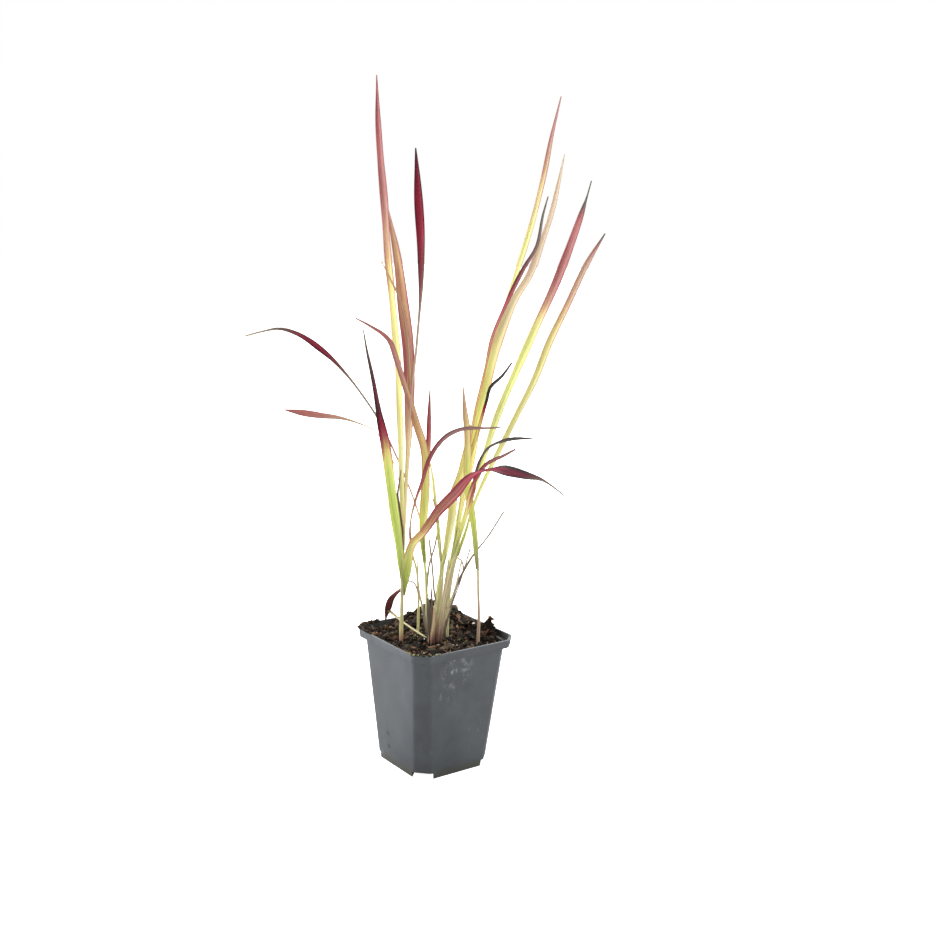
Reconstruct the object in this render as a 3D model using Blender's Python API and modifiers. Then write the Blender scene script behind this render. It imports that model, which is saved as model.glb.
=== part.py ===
"""Japanese blood grass growing in a square nursery pot.

Metres, +Z up. The origin is the centre of the pot's base on the ground and the pot's sides lie along X and Y.
The grass is laid out in the frame of its front view (x to the right, y away, z up, millimetres) and is then
turned by VIEW_TURN about Z, because the pot stands corner-on in that view.
"""

import bpy
import bmesh
import math
import numpy as np
from mathutils import Matrix, Vector

MM = 0.001
VIEW_TURN = math.radians(-35.1)

# Pot: an 82 mm tapered body under a 90 mm rim
POT_HEIGHT = 100.0
BASE_SIDE = 65.0
NECK_SIDE = 82.0
RIM_SIDE = 90.0
RIM_HEIGHT = 6.0
WALL = 1.3
FLOOR = 1.6
CORNER_LEG = 9.0
CORNER_SOFT = 1.8
NOTCH_HEIGHT = 4.5
DRAIN_RADIUS = 3.5
DRAIN_OFFSET = 20.0

# Soil
GAP = 0.3
SOIL_LEVEL = 95.5
SOIL_STEPS = 30
HOLE_DEPTH = 19.0
STEM_SINK = 16.0
HOLE_CLEAR = 0.45

# Leaves
BLADE_THICK = 0.75
BLADE_FOLD = 0.16
STATION_STEP = 17.0
MOST_STATIONS = 22


def clear_scene():
    for obj in list(bpy.data.objects):
        bpy.data.objects.remove(obj, do_unlink=True)


def collection(name, helper=False):
    made = bpy.data.collections.new(name)
    bpy.context.scene.collection.children.link(made)
    made.hide_render = helper
    return made


def material(name, colour, roughness):
    made = bpy.data.materials.new(name)
    made.use_nodes = True
    shader = made.node_tree.nodes["Principled BSDF"]
    shader.inputs["Base Color"].default_value = (*colour, 1.0)
    shader.inputs["Roughness"].default_value = roughness
    made.diffuse_color = (*colour, 1.0)
    return made


def add_object(name, bm, where):
    mesh = bpy.data.meshes.new(name)
    bm.to_mesh(mesh)
    bm.free()
    obj = bpy.data.objects.new(name, mesh)
    where.objects.link(obj)
    return obj


def as_cutter(obj):
    obj.hide_render = True
    obj.display_type = "WIRE"
    return obj


def apply_modifiers(obj):
    graph = bpy.context.evaluated_depsgraph_get()
    mesh = bpy.data.meshes.new_from_object(obj.evaluated_get(graph))
    old = obj.data
    obj.modifiers.clear()
    obj.data = mesh
    bpy.data.meshes.remove(old)
    mesh.name = obj.name


def boolean(obj, other, operation):
    step = obj.modifiers.new(operation.lower(), "BOOLEAN")
    step.operation = operation
    step.object = other
    step.solver = "EXACT"


# Pot
def tapered_block(name, low_side, high_side, low, high, leg, where, soft=CORNER_SOFT):
    """A square block with cut corners that widens upward while the corner cut keeps its size."""
    bm = bmesh.new()
    bmesh.ops.create_cube(bm, size=1.0)
    for v in bm.verts:
        v.co.x *= low_side * MM
        v.co.y *= low_side * MM
        v.co.z = (high if v.co.z > 0 else low) * MM
    upright = [e for e in bm.edges if abs(e.verts[0].co.z - e.verts[1].co.z) > 0.1 * MM]
    bmesh.ops.bevel(bm, geom=upright, offset=leg * MM, segments=1, affect="EDGES", clamp_overlap=False)
    if soft > 0:
        upright = [e for e in bm.edges if abs(e.verts[0].co.z - e.verts[1].co.z) > 0.1 * MM]
        bmesh.ops.bevel(bm, geom=upright, offset=soft * MM, segments=2, profile=0.5, affect="EDGES")
    grow = (high_side - low_side) / 2 * MM
    for v in bm.verts:
        if v.co.z > (low + high) / 2 * MM:
            v.co.x += math.copysign(grow, v.co.x)
            v.co.y += math.copysign(grow, v.co.y)
    bmesh.ops.recalc_face_normals(bm, faces=bm.faces)
    return add_object(name, bm, where)


def side_at(z):
    """The outer side of the pot's body at a height."""
    return BASE_SIDE + (NECK_SIDE - BASE_SIDE) * z / (POT_HEIGHT - RIM_HEIGHT)


def inner_leg():
    return CORNER_LEG - WALL * (2 - math.sqrt(2))


def corner_notch(name, index, grow, where):
    """A box across one foot corner of the pot, standing diagonally."""
    bm = bmesh.new()
    bmesh.ops.create_cube(bm, size=1.0)
    wide = (CORNER_LEG * math.sqrt(2) + 3.0 + 2 * grow) * MM
    for v in bm.verts:
        v.co.x *= (9.0 + 2 * grow) * MM
        v.co.y *= wide
        v.co.z = (NOTCH_HEIGHT + grow) * MM if v.co.z > 0 else -2.0 * MM
    reach = (BASE_SIDE / 2 * math.sqrt(2) - CORNER_LEG / math.sqrt(2)) * MM
    angle = math.radians(45 + 90 * index)
    bmesh.ops.transform(bm, matrix=Matrix.Rotation(angle, 4, "Z") @ Matrix.Translation((reach, 0, 0)), verts=bm.verts)
    return as_cutter(add_object(name, bm, where))


def upright_cylinder(name, x, y, low, high, radius, sides, where):
    bm = bmesh.new()
    bmesh.ops.create_cone(bm, cap_ends=True, segments=sides, radius1=radius * MM, radius2=radius * MM,
                          depth=(high - low) * MM)
    bmesh.ops.translate(bm, vec=(x * MM, y * MM, (low + high) / 2 * MM), verts=bm.verts)
    return as_cutter(add_object(name, bm, where))


def make_pot(where, helpers, plastic):
    neck = POT_HEIGHT - RIM_HEIGHT
    pot = tapered_block("pot", BASE_SIDE, NECK_SIDE, 0, neck + 0.5, CORNER_LEG, where)
    rim = as_cutter(tapered_block("rim_block", RIM_SIDE - 1.2, RIM_SIDE, neck, POT_HEIGHT, CORNER_LEG, helpers))
    cavity = as_cutter(tapered_block("cavity", side_at(FLOOR) - 2 * WALL, NECK_SIDE - 2 * WALL, FLOOR, neck + 1.4,
                                     inner_leg(), helpers))
    mouth = as_cutter(tapered_block("mouth", RIM_SIDE - 4.4, RIM_SIDE - 3.0, neck + 1.4, POT_HEIGHT + 1,
                                    inner_leg(), helpers))
    boolean(pot, rim, "UNION")
    boolean(pot, cavity, "DIFFERENCE")
    boolean(pot, mouth, "DIFFERENCE")
    for index in range(4):
        boolean(pot, corner_notch(f"notch_{index}", index, 0.0, helpers), "DIFFERENCE")
        angle = math.radians(90 * index)
        x, y = DRAIN_OFFSET * math.cos(angle), DRAIN_OFFSET * math.sin(angle)
        boolean(pot, upright_cylinder(f"drain_{index}", x, y, -2, FLOOR + 2, DRAIN_RADIUS, 16, helpers), "DIFFERENCE")
    pot.data.materials.append(plastic)
    return pot


# Soil
def bump(x, y, at_x, at_y, spread):
    return math.exp(-((x - at_x) ** 2 + (y - at_y) ** 2) / spread**2)


def soil_height(x, y):
    """Height of the soil in the view frame, in mm: a mound behind the crown and a dip at the right corner."""
    lumps = 0.9 * math.sin(0.31 * x + 0.8) * math.cos(0.27 * y + 0.4) + 0.6 * math.sin(0.57 * x - 0.49 * y + 2.0)
    rise = 15.0 * bump(x, y, -1, 36, 17) + 4.0 * bump(x, y, 16, 34, 14) + 3.0 * bump(x, y, 28, 20, 12)
    dip = 5.0 * bump(x, y, 46, -8, 18) + 1.5 * bump(x, y, -10, -48, 16)
    return SOIL_LEVEL + lumps + rise - dip


def to_view(x, y):
    c, s = math.cos(-VIEW_TURN), math.sin(-VIEW_TURN)
    return x * c - y * s, x * s + y * c


def to_part(x, y):
    c, s = math.cos(VIEW_TURN), math.sin(VIEW_TURN)
    return x * c - y * s, x * s + y * c


def make_soil(where, helpers, earth, stems):
    half = RIM_SIDE / 2 + 2
    bm = bmesh.new()
    bmesh.ops.create_grid(bm, x_segments=SOIL_STEPS, y_segments=SOIL_STEPS, size=half * MM)
    for v in bm.verts:
        x, y = to_view(v.co.x / MM, v.co.y / MM)
        v.co.z = soil_height(x, y) * MM
    rims = [e for e in bm.edges if e.is_boundary]
    sides = bmesh.ops.extrude_edge_only(bm, edges=rims)["geom"]
    for v in (g for g in sides if isinstance(g, bmesh.types.BMVert)):
        v.co.z = 0.0
    bmesh.ops.contextual_create(bm, geom=[e for e in bm.edges if e.is_boundary])
    bmesh.ops.recalc_face_normals(bm, faces=bm.faces)
    soil = add_object("soil", bm, where)
    low = FLOOR + GAP
    body = as_cutter(tapered_block("soil_body", side_at(low) - 2 * (WALL + GAP), side_at(93.8) - 2 * (WALL + GAP) - 0.4,
                                   low, 93.8, inner_leg(), helpers))
    top = as_cutter(tapered_block("soil_top", RIM_SIDE - 14.0, RIM_SIDE - 10.0, 93.0, 125.0, inner_leg(), helpers))
    boolean(body, top, "UNION")
    boolean(soil, body, "INTERSECT")
    for index in range(4):
        boolean(soil, corner_notch(f"hollow_{index}", index, 0.6, helpers), "DIFFERENCE")
    for name, (x, y, radius) in stems.items():
        height = soil_height(x, y)
        px, py = to_part(x, y)
        hole = upright_cylinder(f"hole_{name}", px, py, height - HOLE_DEPTH, height + 12, radius + HOLE_CLEAR, 10, helpers)
        boolean(soil, hole, "DIFFERENCE")
    soil.data.materials.append(earth)
    return soil


# Grass
def smooth_path(points, count):
    """Points evenly spaced along a smooth curve through the given points."""
    p = np.array(points, float)
    gaps = np.linalg.norm(np.diff(p, axis=0), axis=1)
    t = np.concatenate([[0.0], np.cumsum(gaps)])
    slope = np.gradient(p, t, axis=0)
    fine = np.linspace(0, t[-1], 400)
    i = np.clip(np.searchsorted(t, fine, side="right") - 1, 0, len(t) - 2)
    h = gaps[i][:, None]
    u = ((fine - t[i]) / gaps[i])[:, None]
    curve = (p[i] * (1 + 2 * u) * (1 - u) ** 2 + slope[i] * h * u * (1 - u) ** 2
             + p[i + 1] * u**2 * (3 - 2 * u) + slope[i + 1] * h * u**2 * (u - 1))
    run = np.concatenate([[0.0], np.cumsum(np.linalg.norm(np.diff(curve, axis=0), axis=1))])
    even = np.linspace(0, run[-1], count)
    return np.stack([np.interp(even, run, curve[:, k]) for k in range(3)], axis=1), run[-1]


def spread_values(values, count):
    return np.interp(np.linspace(0, 1, count), np.linspace(0, 1, len(values)), values)


def blade(name, points, widths, turns, where, thick=BLADE_THICK, fold=BLADE_FOLD):
    """A folded leaf blade. widths are millimetres and turns are degrees away from facing the viewer, root to tip."""
    length = smooth_path(points, 2)[1]
    count = int(min(MOST_STATIONS, max(7, round(length / STATION_STEP) + 1)))
    centre = smooth_path(points, count)[0]
    along = np.gradient(centre, axis=0)
    along /= np.linalg.norm(along, axis=1)[:, None]
    width = spread_values(widths, count)
    turn = np.radians(spread_values(turns, count))
    bm = bmesh.new()
    bmesh.ops.create_grid(bm, x_segments=count - 1, y_segments=2, size=0.5)
    for v in bm.verts:
        k = int(round((v.co.x + 0.5) * (count - 1)))
        across = v.co.y * 2
        tangent = along[k]
        side = np.cross(tangent, (0.0, -1.0, 0.2))
        side /= np.linalg.norm(side)
        normal = np.cross(side, tangent)
        lean = side * math.cos(turn[k]) + normal * math.sin(turn[k])
        face = np.cross(lean, tangent)
        place = centre[k] + lean * width[k] / 2 * across + face * fold * width[k] * (abs(across) - 0.5)
        v.co = Vector(place * MM)
    bmesh.ops.rotate(bm, matrix=Matrix.Rotation(VIEW_TURN, 3, "Z"), verts=bm.verts)
    bmesh.ops.triangulate(bm, faces=bm.faces)
    obj = add_object(name, bm, where)
    solid = obj.modifiers.new("thickness", "SOLIDIFY")
    solid.thickness = thick * MM
    solid.offset = 0.0
    apply_modifiers(obj)
    return obj


def tube(name, points, radii, where, steps=None):
    """A round tapered stem along a smooth path, with closed ends."""
    length = smooth_path(points, 2)[1]
    count = steps or int(max(4, round(length / 12) + 1))
    centre = smooth_path(points, count)[0]
    radius = spread_values(radii, count)
    curve = bpy.data.curves.new(name, "CURVE")
    curve.dimensions = "3D"
    curve.bevel_depth = MM
    curve.bevel_resolution = 1
    curve.use_fill_caps = True
    spline = curve.splines.new("POLY")
    spline.points.add(count - 1)
    for k in range(count):
        x, y = to_part(centre[k][0], centre[k][1])
        spline.points[k].co = (x * MM, y * MM, centre[k][2] * MM, 1.0)
        spline.points[k].radius = radius[k]
    holder = bpy.data.objects.new(name + "_curve", curve)
    where.objects.link(holder)
    graph = bpy.context.evaluated_depsgraph_get()
    mesh = bpy.data.meshes.new_from_object(holder.evaluated_get(graph))
    bpy.data.objects.remove(holder, do_unlink=True)
    bm = bmesh.new()
    bm.from_mesh(mesh)
    bpy.data.meshes.remove(mesh)
    bmesh.ops.remove_doubles(bm, verts=bm.verts, dist=0.00001)
    bmesh.ops.recalc_face_normals(bm, faces=bm.faces)
    return add_object(name, bm, where)


def sunk(x, y, path):
    """A stem's path: upright in its soil hole, then on through the given points."""
    height = soil_height(x, y)
    return [(x, y, height - STEM_SINK), (x, y, height - STEM_SINK / 2), (x, y, height + 1), *path]


def fuse(name, pieces, where, look):
    """One closed body from pieces that run into each other; the separate pieces are then removed."""
    group = bpy.data.collections.new(name + "_pieces")
    bpy.context.scene.collection.children.link(group)
    first, *rest = pieces
    for piece in rest:
        for old in piece.users_collection:
            old.objects.unlink(piece)
        group.objects.link(piece)
    if rest:
        join = first.modifiers.new("join", "BOOLEAN")
        join.operation = "UNION"
        join.operand_type = "COLLECTION"
        join.collection = group
        join.solver = "EXACT"
        apply_modifiers(first)
    for piece in rest:
        bpy.data.objects.remove(piece, do_unlink=True)
    bpy.data.collections.remove(group)
    first.name = name
    first.data.name = name
    first.data.materials.clear()
    first.data.materials.append(look)
    for polygon in first.data.polygons:
        polygon.material_index = 0
    return first


STEMS = {
    "left": (-25, -11, 1.5),
    "front": (-13, 5, 1.0),
    "middle": (-6, 12, 1.2),
    "centre": (0, 1, 1.2),
    "rear": (0, 21, 1.1),
    "tall": (4, 9, 1.5),
    "broad": (4, -8, 1.3),
    "slim": (9, -2, 1.1),
    "right": (32, -8, 1.2),
    "culm": (9, 17, 0.9),
    "stub_left": (-4, -14, 1.2),
    "stub_right": (3, -16, 1.4),
}


def left_tiller(where, look):
    x, y, r = STEMS["left"]
    stem = tube("left_stem", sunk(x, y, [(-25, -11, 115), (-25, -11, 137), (-25, -10, 160), (-25, -10, 178)]),
                [r, r, 1.4, 1.3, 1.0], where)
    tall = blade("left_tall", [(-25, -10, 150), (-26, -5, 201), (-28, 2, 244), (-31, 12, 298), (-34, 18, 326),
                               (-40, 28, 376), (-45, 37, 426), (-49, 44, 461), (-52, 52, 504)],
                 [2.5, 4, 6, 7.5, 8, 8, 7.5, 6, 0.8], [10, 30, 45, 50, 50, 48, 42, 40, 35], where)
    lime = blade("left_lime", [(-25, -11, 142), (-28, -15, 174), (-31, -20, 197), (-34, -25, 220), (-38, -31, 250),
                               (-42, -36, 270), (-47, -42, 297), (-51, -47, 316), (-53, -51, 328)],
                 [2.5, 5.5, 7.5, 8, 8, 7.5, 5, 3, 0.8], [0, 20, 28, 28, 28, 35, 48, 52, 45], where)
    thin = blade("left_crimson", [(-25, -10, 160), (-23, -18, 223), (-21, -26, 271), (-17, -36, 321), (-15, -44, 355),
                                  (-15, -49, 379), (-17, -55, 411), (-20, -62, 447)],
                 [2.0, 3, 4, 5, 6, 7, 7.5, 6, 0.8], [60, 72, 76, 77, 76, 60, 38, 28, 22], where)
    orange = blade("left_orange", [(-25, -10, 162), (-23, -6, 213), (-22, -2, 253), (-22, 2, 281), (-24, 5, 313),
                                   (-28, 8, 342), (-33, 11, 375), (-40, 14, 403)],
                   [2.5, 3, 4, 6, 7.5, 7.5, 6, 3, 0.8], [40, 50, 52, 48, 36, 38, 45, 50, 40], where)
    sliver = blade("left_sliver", [(-22, 1, 274), (-25, 2, 321), (-31, 2, 347), (-37, 1, 359), (-44, 0, 372)],
                   [2, 2.4, 2.2, 1.6, 0.7], [30, 30, 30, 30, 30], where)
    small = blade("left_side", [(-25, -10, 170), (-27, -13, 203), (-30, -15, 224), (-37, -19, 241), (-46, -23, 255),
                                (-58, -27, 261), (-70, -31, 265), (-83, -35, 267), (-107, -42, 271)],
                  [1.5, 1.8, 2, 2.5, 3.2, 4.5, 6, 5, 0.8], [60, 65, 68, 68, 66, 60, 42, 35, 30], where)
    droop = blade("left_drooping", [(-24, -11, 131), (-21, -13, 157), (-18, -17, 171), (-10, -22, 182), (0, -30, 199),
                                    (12, -42, 215), (22, -54, 229), (32, -64, 236), (40, -70, 238), (49, -77, 238),
                                    (59, -85, 237), (68, -92, 236), (76, -98, 232), (82, -102, 228)],
                  [3, 7.5, 8, 8, 9, 9, 8.5, 7.5, 8, 7.5, 4.5, 2.5, 0.8],
                  [0, 0, 10, 15, 8, 5, 8, 30, 64, 20, 18, 40, 40, 30], where)
    fallen = blade("left_fallen", [(-25, -11, 136), (-30, -3, 130), (-34, 4, 123), (-36, 10, 115), (-37, 15, 109),
                                   (-38, 19, 102)], [1.5, 3, 5, 6, 5, 0.8], [50, 45, 35, 30, 40, 45], where)
    curl = blade("left_dry_curl", [(-25, -10, 162), (-26, -15, 181), (-28, -18, 199), (-29, -20, 209), (-28, -19, 218),
                                   (-27, -17, 226)], [1.2, 1.8, 2.4, 2.2, 1.6, 0.7], [40, 30, 20, 30, 40, 50], where)
    pieces = [stem, tall, lime, thin, orange, sliver, small, droop, fallen, curl]
    return fuse("left_tiller", pieces, where, look)


def front_tiller(where, look):
    x, y, r = STEMS["front"]
    stem = tube("front_stem", sunk(x, y, [(-13, 5, 120), (-14, 2, 139), (-15, 0, 148), (-18, -4, 160), (-20, -8, 172)]),
                [r, r, 0.9, 0.8, 0.8], where)
    arch = blade("front_arch", [(-18, -5, 162), (-20, -9, 180), (-17, -15, 204), (-13, -21, 220), (-9, -27, 236),
                                (-3, -33, 248), (6, -40, 257), (15, -46, 261), (31, -57, 264), (41, -64, 266)],
                 [1.5, 2, 3, 4, 4, 3.6, 2.4, 0.8], [50, 55, 40, 30, 20, 30, 35, 30], where)
    hook = tube("front_hook", [(-13, 4, 128), (-17, -1, 138), (-20, -3, 140), (-22, -4, 137)], [0.7, 0.6, 0.5, 0.4],
                where)
    return fuse("front_tiller", [stem, arch, hook], where, look)


def middle_tiller(where, look):
    x, y, r = STEMS["middle"]
    stem = tube("middle_stem", sunk(x, y, [(-7, 12, 120), (-8, 11, 141), (-10, 9, 157), (-11, 8, 170)]),
                [r, r, 1.1, 1.0, 0.9], where)
    mauve = blade("middle_mauve", [(-9, 9, 151), (-11, 6, 176), (-10, 4, 192), (-9, 0, 216), (-11, -5, 241),
                                   (-16, -9, 257), (-21, -13, 274), (-26, -17, 289), (-31, -21, 305), (-36, -26, 319),
                                   (-50, -36, 330), (-59, -42, 335)],
                  [2.5, 5, 7, 7.5, 7, 6.5, 6, 5, 5, 3, 0.8], [20, 25, 25, 30, 35, 35, 35, 40, 45, 45, 40], where)
    long_arch = blade("middle_arch", [(-9, 9, 156), (-13, 11, 183), (-18, 13, 198), (-23, 15, 210), (-34, 19, 234),
                                      (-47, 24, 258), (-58, 28, 273), (-68, 32, 285), (-88, 39, 304), (-108, 45, 316),
                                      (-122, 49, 319), (-136, 53, 316), (-149, 57, 312)],
                      [1.5, 1.8, 2, 2, 2.2, 2.6, 4.5, 6.5, 4.5, 2.5, 0.8],
                      [60, 60, 62, 66, 66, 60, 45, 40, 48, 50, 40], where)
    red = blade("middle_red", [(-10, 8, 165), (-9, 7, 184), (-8, 8, 222), (-8, 11, 243), (-8, 14, 265), (-8, 16, 280)],
                [1.5, 2, 3, 4, 3.6, 0.8], [40, 40, 35, 25, 30, 30], where)
    side = tube("middle_side", [(-7, 12, 130), (-5, 13, 151), (-2, 14, 161), (0, 15, 172)], [0.8, 0.6, 0.5, 0.4], where)
    return fuse("middle_tiller", [stem, mauve, long_arch, red, side], where, look)


def centre_tiller(where, look):
    x, y, r = STEMS["centre"]
    stem = tube("centre_stem", sunk(x, y, [(1, 1, 118), (2, 0, 129), (3, -2, 146), (3, -3, 158), (2, -3, 172)]),
                [r, r, 1.1, 0.9, 0.8], where)
    twin = blade("centre_pale", [(3, -3, 156), (0, 0, 186), (-2, 2, 200), (-4, 4, 215), (-7, 7, 230)],
                 [1.5, 3, 3.2, 2.4, 0.8], [50, 45, 40, 40, 45], where)
    stub = blade("centre_stub", [(0, 0, 184), (-1, -3, 194), (-4, -6, 203)], [1.5, 2.2, 0.8], [30, 30, 30], where)
    side = tube("centre_side", [(1, 1, 119), (-1, 3, 128), (-3, 4, 147), (-6, 4, 170)], [0.8, 0.6, 0.5, 0.4], where)
    return fuse("centre_tiller", [stem, twin, stub, side], where, look)


def rear_tiller(where, look):
    x, y, r = STEMS["rear"]
    stem = tube("rear_stem", sunk(x, y, [(1, 21, 126), (3, 20, 139), (6, 20, 154)]), [r, r, 1.0, 0.8], where)
    pale = blade("rear_pale", [(3, 20, 137), (8, 21, 166), (11, 22, 185), (12, 23, 200), (17, 25, 215), (20, 28, 230),
                               (23, 32, 252)], [2, 4.5, 6.5, 7.5, 7.5, 5.5, 0.8], [30, 30, 30, 28, 25, 25, 30], where)
    return fuse("rear_tiller", [stem, pale], where, look)


def tall_tiller(where, look):
    x, y, r = STEMS["tall"]
    stem = tube("tall_stem", sunk(x, y, [(6, 9, 122), (9, 11, 141), (12, 12, 160), (15, 14, 182)]),
                [r, r, 1.4, 1.2, 1.0], where)
    edge = blade("tall_edge", [(12, 12, 156), (18, 12, 199), (22, 12, 240), (26, 12, 266), (32, 13, 296), (36, 14, 318),
                               (44, 16, 339), (51, 18, 355), (59, 20, 371), (66, 22, 383), (71, 25, 409), (74, 26, 421)],
                 [2, 3, 3, 3, 3.6, 4.5, 5.5, 5.5, 3.5, 0.8], [55, 55, 55, 55, 55, 50, 45, 40, 40, 35], where)
    tall = blade("tall_reach", [(13, 13, 165), (20, 22, 200), (27, 32, 237), (37, 43, 281), (46, 54, 331), (55, 61, 363),
                                (66, 69, 400), (76, 79, 445), (80, 84, 468), (86, 90, 497)],
                 [2.5, 4, 5, 5, 5.5, 6, 6, 5, 0.8], [50, 52, 52, 52, 48, 45, 42, 45, 40], where)
    wide = blade("tall_wide", [(13, 13, 164), (18, 18, 197), (24, 23, 227), (28, 28, 258), (33, 32, 279), (38, 36, 301),
                               (45, 41, 323), (54, 46, 345), (65, 51, 364), (73, 57, 386), (80, 63, 408), (85, 69, 431),
                               (89, 74, 454)],
                 [3, 6, 8.5, 9.5, 9.5, 8.5, 7, 5, 0.8], [30, 28, 22, 20, 30, 40, 45, 50, 45], where)
    bent = blade("tall_bent", [(21, 12, 226), (27, 10, 248), (31, 8, 264), (34, 4, 277), (35, 2, 283), (44, -4, 294), (50, -9, 304)],
                 [1.5, 2, 2.8, 2.5, 2.2, 0.7], [30, 25, 20, 30, 30, 30], where)
    hook = tube("tall_hook", [(10, 11, 146), (13, 8, 154), (16, 5, 156), (19, 2, 156), (22, 0, 151)],
                [0.7, 0.6, 0.5, 0.5, 0.4], where)
    return fuse("tall_tiller", [stem, edge, tall, wide, bent, hook], where, look)


def broad_tiller(where, look):
    x, y, r = STEMS["broad"]
    stem = tube("broad_stem", sunk(x, y, [(7, -9, 128), (10, -10, 147), (13, -11, 165), (16, -12, 181)]),
                [r, r, 1.1, 1.0, 0.8], where)
    leaf = blade("broad_leaf", [(12, -11, 160), (21, -14, 197), (31, -16, 231), (38, -17, 257), (51, -18, 293),
                                (66, -18, 330), (80, -20, 365), (90, -22, 395), (96, -24, 418), (99, -25, 431)],
                 [2.5, 4, 5.5, 6.5, 7.5, 8, 7.5, 5, 0.8], [35, 45, 48, 45, 42, 42, 42, 50, 45], where)
    arch = blade("broad_arch", [(14, -11, 169), (20, -17, 190), (25, -22, 212), (26, -26, 225), (29, -29, 237),
                                (34, -33, 246), (43, -38, 252), (53, -43, 255), (64, -48, 256)],
                 [1.5, 2, 2.5, 3, 2.8, 2.2, 2, 2, 0.7], [50, 50, 45, 40, 35, 35, 35, 35, 35], where)
    point = blade("broad_point", [(14, -11, 167), (19, -22, 191), (22, -29, 211), (29, -37, 230), (35, -42, 238),
                                  (42, -46, 242), (52, -52, 249)],
                  [1.5, 2, 2.5, 3, 3.4, 2.4, 0.7], [50, 50, 40, 35, 30, 35, 35], where)
    return fuse("broad_tiller", [stem, leaf, arch, point], where, look)


def slim_tiller(where, look):
    x, y, r = STEMS["slim"]
    stem = tube("slim_stem", sunk(x, y, [(10, -3, 130), (13, -4, 153), (17, -4, 170)]), [r, r, 0.9, 0.8], where)
    leaf = blade("slim_leaf", [(15, -4, 160), (21, -3, 179), (26, -2, 197), (35, 0, 220), (44, 1, 239), (56, 1, 265),
                               (68, 0, 292), (77, -2, 318), (88, -4, 344), (101, -6, 375), (112, -9, 396)],
                 [1.8, 2.5, 3, 3.5, 4, 4.5, 4.5, 3.5, 0.8], [50, 55, 55, 55, 50, 48, 45, 45, 40], where)
    return fuse("slim_tiller", [stem, leaf], where, look)


def right_tiller(where, look):
    x, y, r = STEMS["right"]
    stem = tube("right_stem", sunk(x, y, [(32, -8, 116), (31, -8, 135), (30, -8, 160)]), [r, r, 1.0, 0.9], where)
    leaf = blade("right_leaf", [(30, -8, 151), (26, -8, 188), (22, -7, 210), (21, -6, 232), (20, -4, 254), (18, -2, 268),
                                (16, 1, 285)], [2.5, 6, 8, 7.5, 6.5, 5, 0.8], [20, 25, 28, 35, 35, 40, 35], where)
    return fuse("right_tiller", [stem, leaf], where, look)


def dry_culm(where, look):
    x, y, r = STEMS["culm"]
    stem = tube("culm_stem", sunk(x, y, [(14, 18, 126), (19, 20, 139), (27, 23, 153), (38, 27, 167), (50, 32, 186)]),
                [r, r, 0.8, 0.8, 0.7, 0.6, 0.5, 0.4], where)
    return fuse("dry_culm", [stem], where, look)


def dry_stub(name, key, path, radii, where, look):
    x, y, _ = STEMS[key]
    return fuse(name, [tube(name + "_stem", sunk(x, y, path), radii, where)], where, look)


def fallen_straw(where, look):
    flat = blade("straw_blade", [(-38, 12, 107), (-33, 5, 106), (-24, -6, 103), (-14, -20, 101), (-8, -30, 99)],
                 [1.5, 2.4, 2.4, 2.0, 1.0], [70, 70, 70, 70, 70], where, 0.8, 0.0)
    return fuse("fallen_straw", [flat], where, look)


def make_part():
    clear_scene()
    plant = collection("japanese_blood_grass")
    helpers = collection("cutters", True)
    plastic = material("grey_plastic", (0.13, 0.14, 0.15), 0.45)
    earth = material("potting_soil", (0.05, 0.03, 0.02), 0.95)
    leaf = material("grass_leaf", (0.42, 0.22, 0.10), 0.55)
    dry = material("dry_straw", (0.50, 0.42, 0.28), 0.8)
    make_pot(plant, helpers, plastic)
    make_soil(plant, helpers, earth, STEMS)
    left_tiller(plant, leaf)
    front_tiller(plant, leaf)
    middle_tiller(plant, leaf)
    centre_tiller(plant, leaf)
    rear_tiller(plant, leaf)
    tall_tiller(plant, leaf)
    broad_tiller(plant, leaf)
    slim_tiller(plant, leaf)
    right_tiller(plant, leaf)
    dry_culm(plant, dry)
    dry_stub("dry_stub_left", "stub_left", [(-4, -14, 112), (-5, -13, 122), (-6, -12, 133)], [1.2, 1.2, 1.1, 0.8, 0.5],
             plant, dry)
    dry_stub("dry_stub_right", "stub_right", [(6, -17, 128), (10, -18, 150), (13, -19, 164)], [1.4, 1.4, 1.3, 1.0, 0.6],
             plant, dry)
    fallen_straw(plant, dry)


make_part()
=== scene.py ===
# %% [markdown]
# # Japanese blood grass in a square nursery pot
# A young clump of blood grass stands in a 9 cm square pot of thin grey plastic. Its blades come up green,
# turn yellow and then crimson from the tip down, and the oldest tips dry to a dull grey-brown. The packed
# CAD model is the fixed frame. This script puts the finer pieces and their finishes around it.

# %% Load the frame
import math
import bpy
import numpy as np
from mathutils import Euler, Matrix, Vector, noise


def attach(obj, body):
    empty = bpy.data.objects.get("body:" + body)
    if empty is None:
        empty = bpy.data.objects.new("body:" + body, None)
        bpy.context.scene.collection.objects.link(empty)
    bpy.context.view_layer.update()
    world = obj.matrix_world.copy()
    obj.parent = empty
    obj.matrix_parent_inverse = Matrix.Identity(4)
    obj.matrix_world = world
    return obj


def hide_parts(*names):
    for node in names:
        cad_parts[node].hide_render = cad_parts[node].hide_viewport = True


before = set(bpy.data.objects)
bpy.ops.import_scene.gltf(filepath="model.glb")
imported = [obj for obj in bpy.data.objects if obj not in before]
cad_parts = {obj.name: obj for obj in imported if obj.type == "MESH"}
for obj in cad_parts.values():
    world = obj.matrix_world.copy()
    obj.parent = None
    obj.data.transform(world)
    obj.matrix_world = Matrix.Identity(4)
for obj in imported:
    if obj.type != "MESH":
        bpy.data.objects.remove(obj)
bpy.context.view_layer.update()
print("nodes:", ", ".join(sorted(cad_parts)))

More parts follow.
